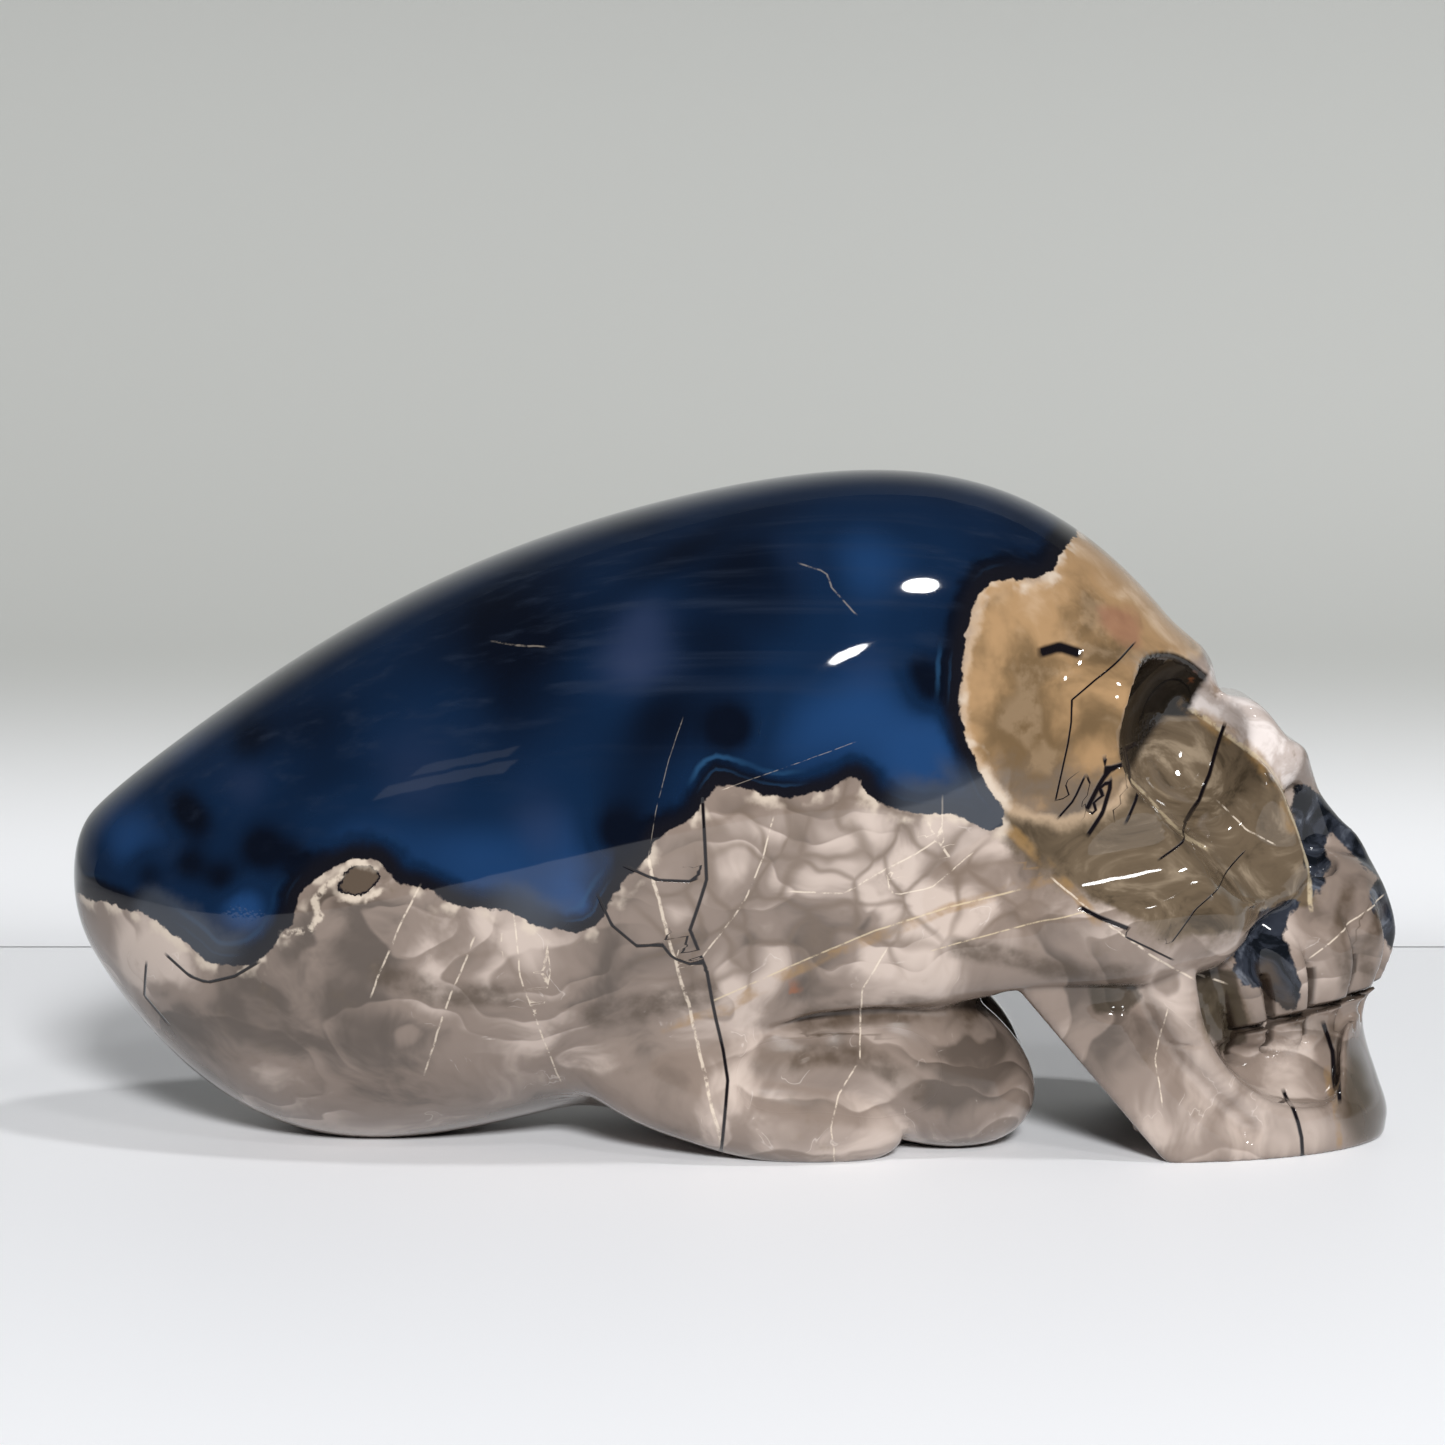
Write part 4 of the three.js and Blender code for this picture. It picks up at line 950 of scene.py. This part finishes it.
# Eye of agate in the pale stone: flecks of cream around a dark rim.
def agateEye(tree, colour, wander, ragged, flecks):
    out = scaled(wander, 3.0, layerValue(tree, "eye"))
    out = scaled(minus(ragged, 0.5), 2.0, out)
    colour = mixed(times(stepped(out, 1.8, 0.8), flecks), colour, stoneColours["cream"])
    colour = mixed(stepped(out, 0.2, 0.0), colour, stoneColours["rim"])
    return mixed(stepped(out, -0.1, -0.5), colour, stoneColours["eye"])


# Rust, painted shade as dark streaks, pale lines that are partly painted highlight, veins and cracks over a
# colour; gives the colour and the mask of the cracks.
def withLines(tree, place, colour, wander, ragged, blueShare):
    c = stoneColours
    lineMask = lineGroup()

    def lines(name):
        wobble, soft, reach = lineLooks[name]
        moved = times(wander, wobble) if wobble else 0.0
        inputs = {"Side": layerValue(tree, name + "Side"), "Near": layerValue(tree, name + "Near"),
                  "Wander": moved, "Soft": soft, "Reach": reach}
        return addNode(tree, "Group", inputs, node_tree=lineMask).outputs["Mask"]

    grain = stepped(noise(place, pattern["grainScale"], 3), 0.35, 0.65)
    paleOnly = minus(1.0, blueShare)
    colour = mixed(times(times(lines("rust"), grain), times(paleOnly, 0.6)), colour, c["rust"])
    rusty = stepped(times(layerValue(tree, "orange"), grain), 0.25, 0.7)
    colour = mixed(times(rusty, 0.8), colour, c["orange"])
    # painted shade along creases and under overhangs
    shade = times(lines("shade"), scaled(grain, 0.6, 0.4))
    colour = mixed(times(shade, times(paleOnly, 0.8)), colour, c["shade"])
    # pale lines on edges: partly pale stone, partly painted highlight
    paleLineAndHighlight = times(lines("paleLineAndHighlight"), stepped(ragged, 0.34, 0.54))
    colour = mixed(times(paleLineAndHighlight, times(paleOnly, 0.55)), colour, c["paleLineAndHighlight"])
    veins = times(lines("vein"), stepped(ragged, 0.38, 0.56))
    colour = mixed(times(veins, scaled(paleOnly, 0.45, 0.2)), colour, c["vein"])
    cracks = lines("crack")
    return mixed(cracks, colour, c["crack"]), cracks


# Polish all over, duller at the lobes, with cracks sunk in and crumbly spots raised in the shading alone.
def setFinish(tree, shader, place, cracks):
    satin = scaled(calc("MINIMUM", layerValue(tree, "satin"), 1.0), pattern["satinMore"], pattern["polish"])
    tree.links.new(satin, shader.inputs["Roughness"])
    shader.inputs["IOR"].default_value = pattern["refraction"]
    crumbs = noise(place, pattern["crumbScale"], 1, 0.6)
    rough = times(calc("MINIMUM", layerValue(tree, "rough"), 1.0), crumbs)
    grooves = minus(times(rough, pattern["crumbHeight"]), cracks)
    bump = addNode(tree, "Bump", {"Height": grooves, "Distance": pattern["bumpDistance"],
                                  "Strength": pattern["bumpStrength"]})
    tree.links.new(bump.outputs["Normal"], shader.inputs["Normal"])


def stoneMaterial():
    c = stoneColours
    material = bpy.data.materials.new("polished agate")
    material.use_nodes = True
    tree = material.node_tree
    shader = tree.nodes["Principled BSDF"]
    base = addNode(tree, "Group", node_tree=placeGroup()).outputs
    place, wander, bent = base["Place"], base["Wander"], base["Bent"]

    def pushed(name, amount, finer=0):
        value = scaled(wander, amount, layerValue(tree, name)) if amount else layerValue(tree, name)
        return scaled(minus(ragged, 0.5), finer, value) if finer else value

    def patched(under, name, over):
        amount, finer, low, high, strength = patchEdges[name]
        return mixed(times(stepped(pushed(name, amount, finer), low, high), strength), under, over)

    def clouded(name):
        scale, twist, low, high = cloudy[name]
        return threeShades(noise(place, scale, 4, 0.6, twist), name, low, high)

    ragged = noise(place, pattern["raggedScale"], 4, 0.65)
    depth = pushed("blue", 3.0, 1.3)
    olive = clouded("olive")
    pale = paleColour(tree, place, bent, wander)
    pale = mixed(stepped(scaled(layerValue(tree, "olive"), 0.5, wander), 0.1, 0.5), pale, olive)
    pale = patched(pale, "cheek", olive)
    pale = patched(pale, "gold", goldenColour(tree, place, bent, pushed("gold", 5.0), wander))
    # painted shade inside the eye socket
    pale = mixed(paintedSocketShade(tree, place, wander), pale, c["socketPaintedShade"])
    # the first of these is painted shade in the mouth's recess and the jaw pit; the others are the stone's
    # own patches
    for name, over in (("mouthPaintedShade", c["mouthPaintedShade"]), ("nasal", clouded("nasal")), ("glassy", clouded("glass")),
                       ("chin", c["chin"])):
        pale = patched(pale, name, over)
    flecks = stepped(noise(place, pattern["fleckScale"], 2, 0.5), 0.46, 0.6)
    pale = agateEye(tree, pale, wander, ragged, flecks)
    border = stepped(scaled(wander, 2.0, depth), -2.4, -0.5)
    colour = mixed(times(border, times(flecks, 0.75)), pale, c["cream"])
    blueShare = stepped(depth, -0.2, 0.15)
    colour = mixed(blueShare, colour, navyColour(tree, place, depth, wander))
    colour, cracks = withLines(tree, place, colour, wander, ragged, blueShare)
    # saw cuts and bite line darkened: partly polishing residue, partly painted shade in the cuts
    gaps = stepped(layerValue(tree, "gap"), 1.0, 0.6)
    colour = mixed(times(gaps, 0.85), colour, c["gap"])
    tree.links.new(colour, shader.inputs["Base Color"])
    setFinish(tree, shader, place, cracks)
    return material


table = {  # metres
    "halfLength": 1.6, "frontY": -0.3, "farY": 2.4,
    "wallY": 0.42, "wallBend": 0.2, "wallHeight": 0.6, "bendSteps": 24, "lift": 0.0003,
    "tableColour": (0.92, 0.93, 0.96), "wallColour": (0.34, 0.345, 0.332),
    "greyFrom": -0.01, "greyTo": 0.055,
    "upperColour": (0.05, 0.052, 0.05), "fadeFrom": 0.17, "fadeTo": 0.5, "roughness": 0.55,
}


# A sheet along X whose profile is given as rows of y and z.
def sheet(name, profile):
    left = np.column_stack([np.full(len(profile), -table["halfLength"]), profile])
    right = np.column_stack([np.full(len(profile), table["halfLength"]), profile])
    i = np.arange(len(profile) - 1)
    faces = np.stack([i, i + len(profile), i + len(profile) + 1, i + 1], axis=1)
    return meshObject(name, np.concatenate([left, right]) / millimetre, faces)


# White below, greyer up the wall and dark above the picture, as painted shade of the light falling off
# upward; the wall is seen only from its front.
def backdropMaterial():
    material = bpy.data.materials.new("white table")
    material.use_nodes = True
    material.use_transparent_shadow = False  # nothing is lit through the wall
    tree = material.node_tree
    shader = tree.nodes["Principled BSDF"]
    height = addNode(tree, "SeparateXYZ", {0: addNode(tree, "TexCoord").outputs["Object"]}).outputs[2]
    # painted shade: greyer and then dark with height
    greyer = stepped(height, table["greyFrom"], table["greyTo"])
    pale = mixed(greyer, table["tableColour"], table["wallColour"])
    faded = mixed(stepped(height, table["fadeFrom"], table["fadeTo"]), pale, table["upperColour"])
    tree.links.new(faded, shader.inputs["Base Color"])
    behind = addNode(tree, "NewGeometry").outputs["Backfacing"]
    tree.links.new(minus(1.0, behind), shader.inputs["Alpha"])
    shader.inputs["Roughness"].default_value = table["roughness"]
    return material


# The table is flat; the backdrop leaves it in a quarter turn and goes on upright.
def floorAndBackdrop():
    turn = np.linspace(0, math.pi / 2, table["bendSteps"])
    bend, foot = table["wallBend"], table["wallY"] - table["wallBend"]
    curve = np.stack([foot + bend * np.sin(turn), table["lift"] + bend - bend * np.cos(turn)], axis=1)
    wall = sheet("backdrop", np.concatenate([curve, [[table["wallY"], table["wallHeight"]]]]))
    floor = sheet("floor", np.array([[table["frontY"], 0.0], [table["farY"], 0.0]]))
    material = backdropMaterial()
    for thing in (wall, floor):
        thing.data.materials.append(material)


studio = {
    "camera": {"x": -2, "y": -750, "z": 129, "down": 4.84, "lens": 117.5},
    "lamps": {  # where, width and height in metres, watts, seen in the gloss
        "key": {"at": (0.62, -0.55, 1.75), "size": (0.22, 0.22), "power": 9, "seen": True},
        "second": {"at": (0.46, -1.25, 1.18), "size": (0.19, 0.19), "power": 3, "seen": True},
        "front": {"at": (0.27, -2.2, 0.91), "size": (0.34, 0.34), "power": 84, "seen": False},
        "windowLow": {"at": (-1.14, -1.28, 0.98), "size": (0.62, 0.12), "power": 0.10, "seen": True},
        "windowHigh": {"at": (-1.14, -1.28, 1.16), "size": (0.50, 0.10), "power": 0.06, "seen": True},
    },
    "room": (0.055, 0.057, 0.060), "roomStrength": 1.0,
}


def areaLight(name, at, size, power, seen):
    light = bpy.data.lights.new(name, "AREA")
    light.shape = "ELLIPSE" if seen and size[0] == size[1] else "RECTANGLE"
    light.size, light.size_y = size
    light.energy = power
    thing = bpy.data.objects.new(name, light)
    thing.location = at
    thing.visible_glossy = seen
    bpy.context.scene.collection.objects.link(thing)
    aim = np.array((0, 0, 0.05)) - np.array(at)
    thing.rotation_euler = (math.atan2(math.hypot(aim[0], aim[1]), -aim[2]), 0,
                            math.atan2(aim[1], aim[0]) - math.pi / 2)


def roomLight():
    world = bpy.data.worlds.new("dim room")
    world.use_nodes = True
    background = world.node_tree.nodes["Background"]
    background.inputs["Color"].default_value = (*studio["room"], 1)
    background.inputs["Strength"].default_value = studio["roomStrength"]
    return world


def setStudio():
    scene = bpy.context.scene
    view = studio["camera"]
    camera = bpy.data.cameras.new("photo view")
    camera.lens, camera.sensor_width = view["lens"], 36
    camera.clip_start, camera.clip_end = 0.05, 20
    thing = bpy.data.objects.new("photo view", camera)
    thing.location = (view["x"] * millimetre, view["y"] * millimetre, view["z"] * millimetre)
    thing.rotation_euler = (math.radians(90 - view["down"]), 0, 0)
    scene.collection.objects.link(thing)
    scene.camera = thing
    for name, lamp in studio["lamps"].items():
        areaLight(name, **lamp)
    scene.world = roomLight()
    scene.view_settings.view_transform = "Standard"


print("stage: working out the skull")
points, faces = skullSurface()
print("stage: skull has", len(points), "points and", len(faces), "faces")
skull = meshObject("skull_stone", points, faces)
print("stage: drawing the stone")
addLayers(skull, stoneDrawing(points))
skull.data.materials.append(stoneMaterial())
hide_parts("skull")
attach(skull, "root")

print("stage: studio")
floorAndBackdrop()
setStudio()
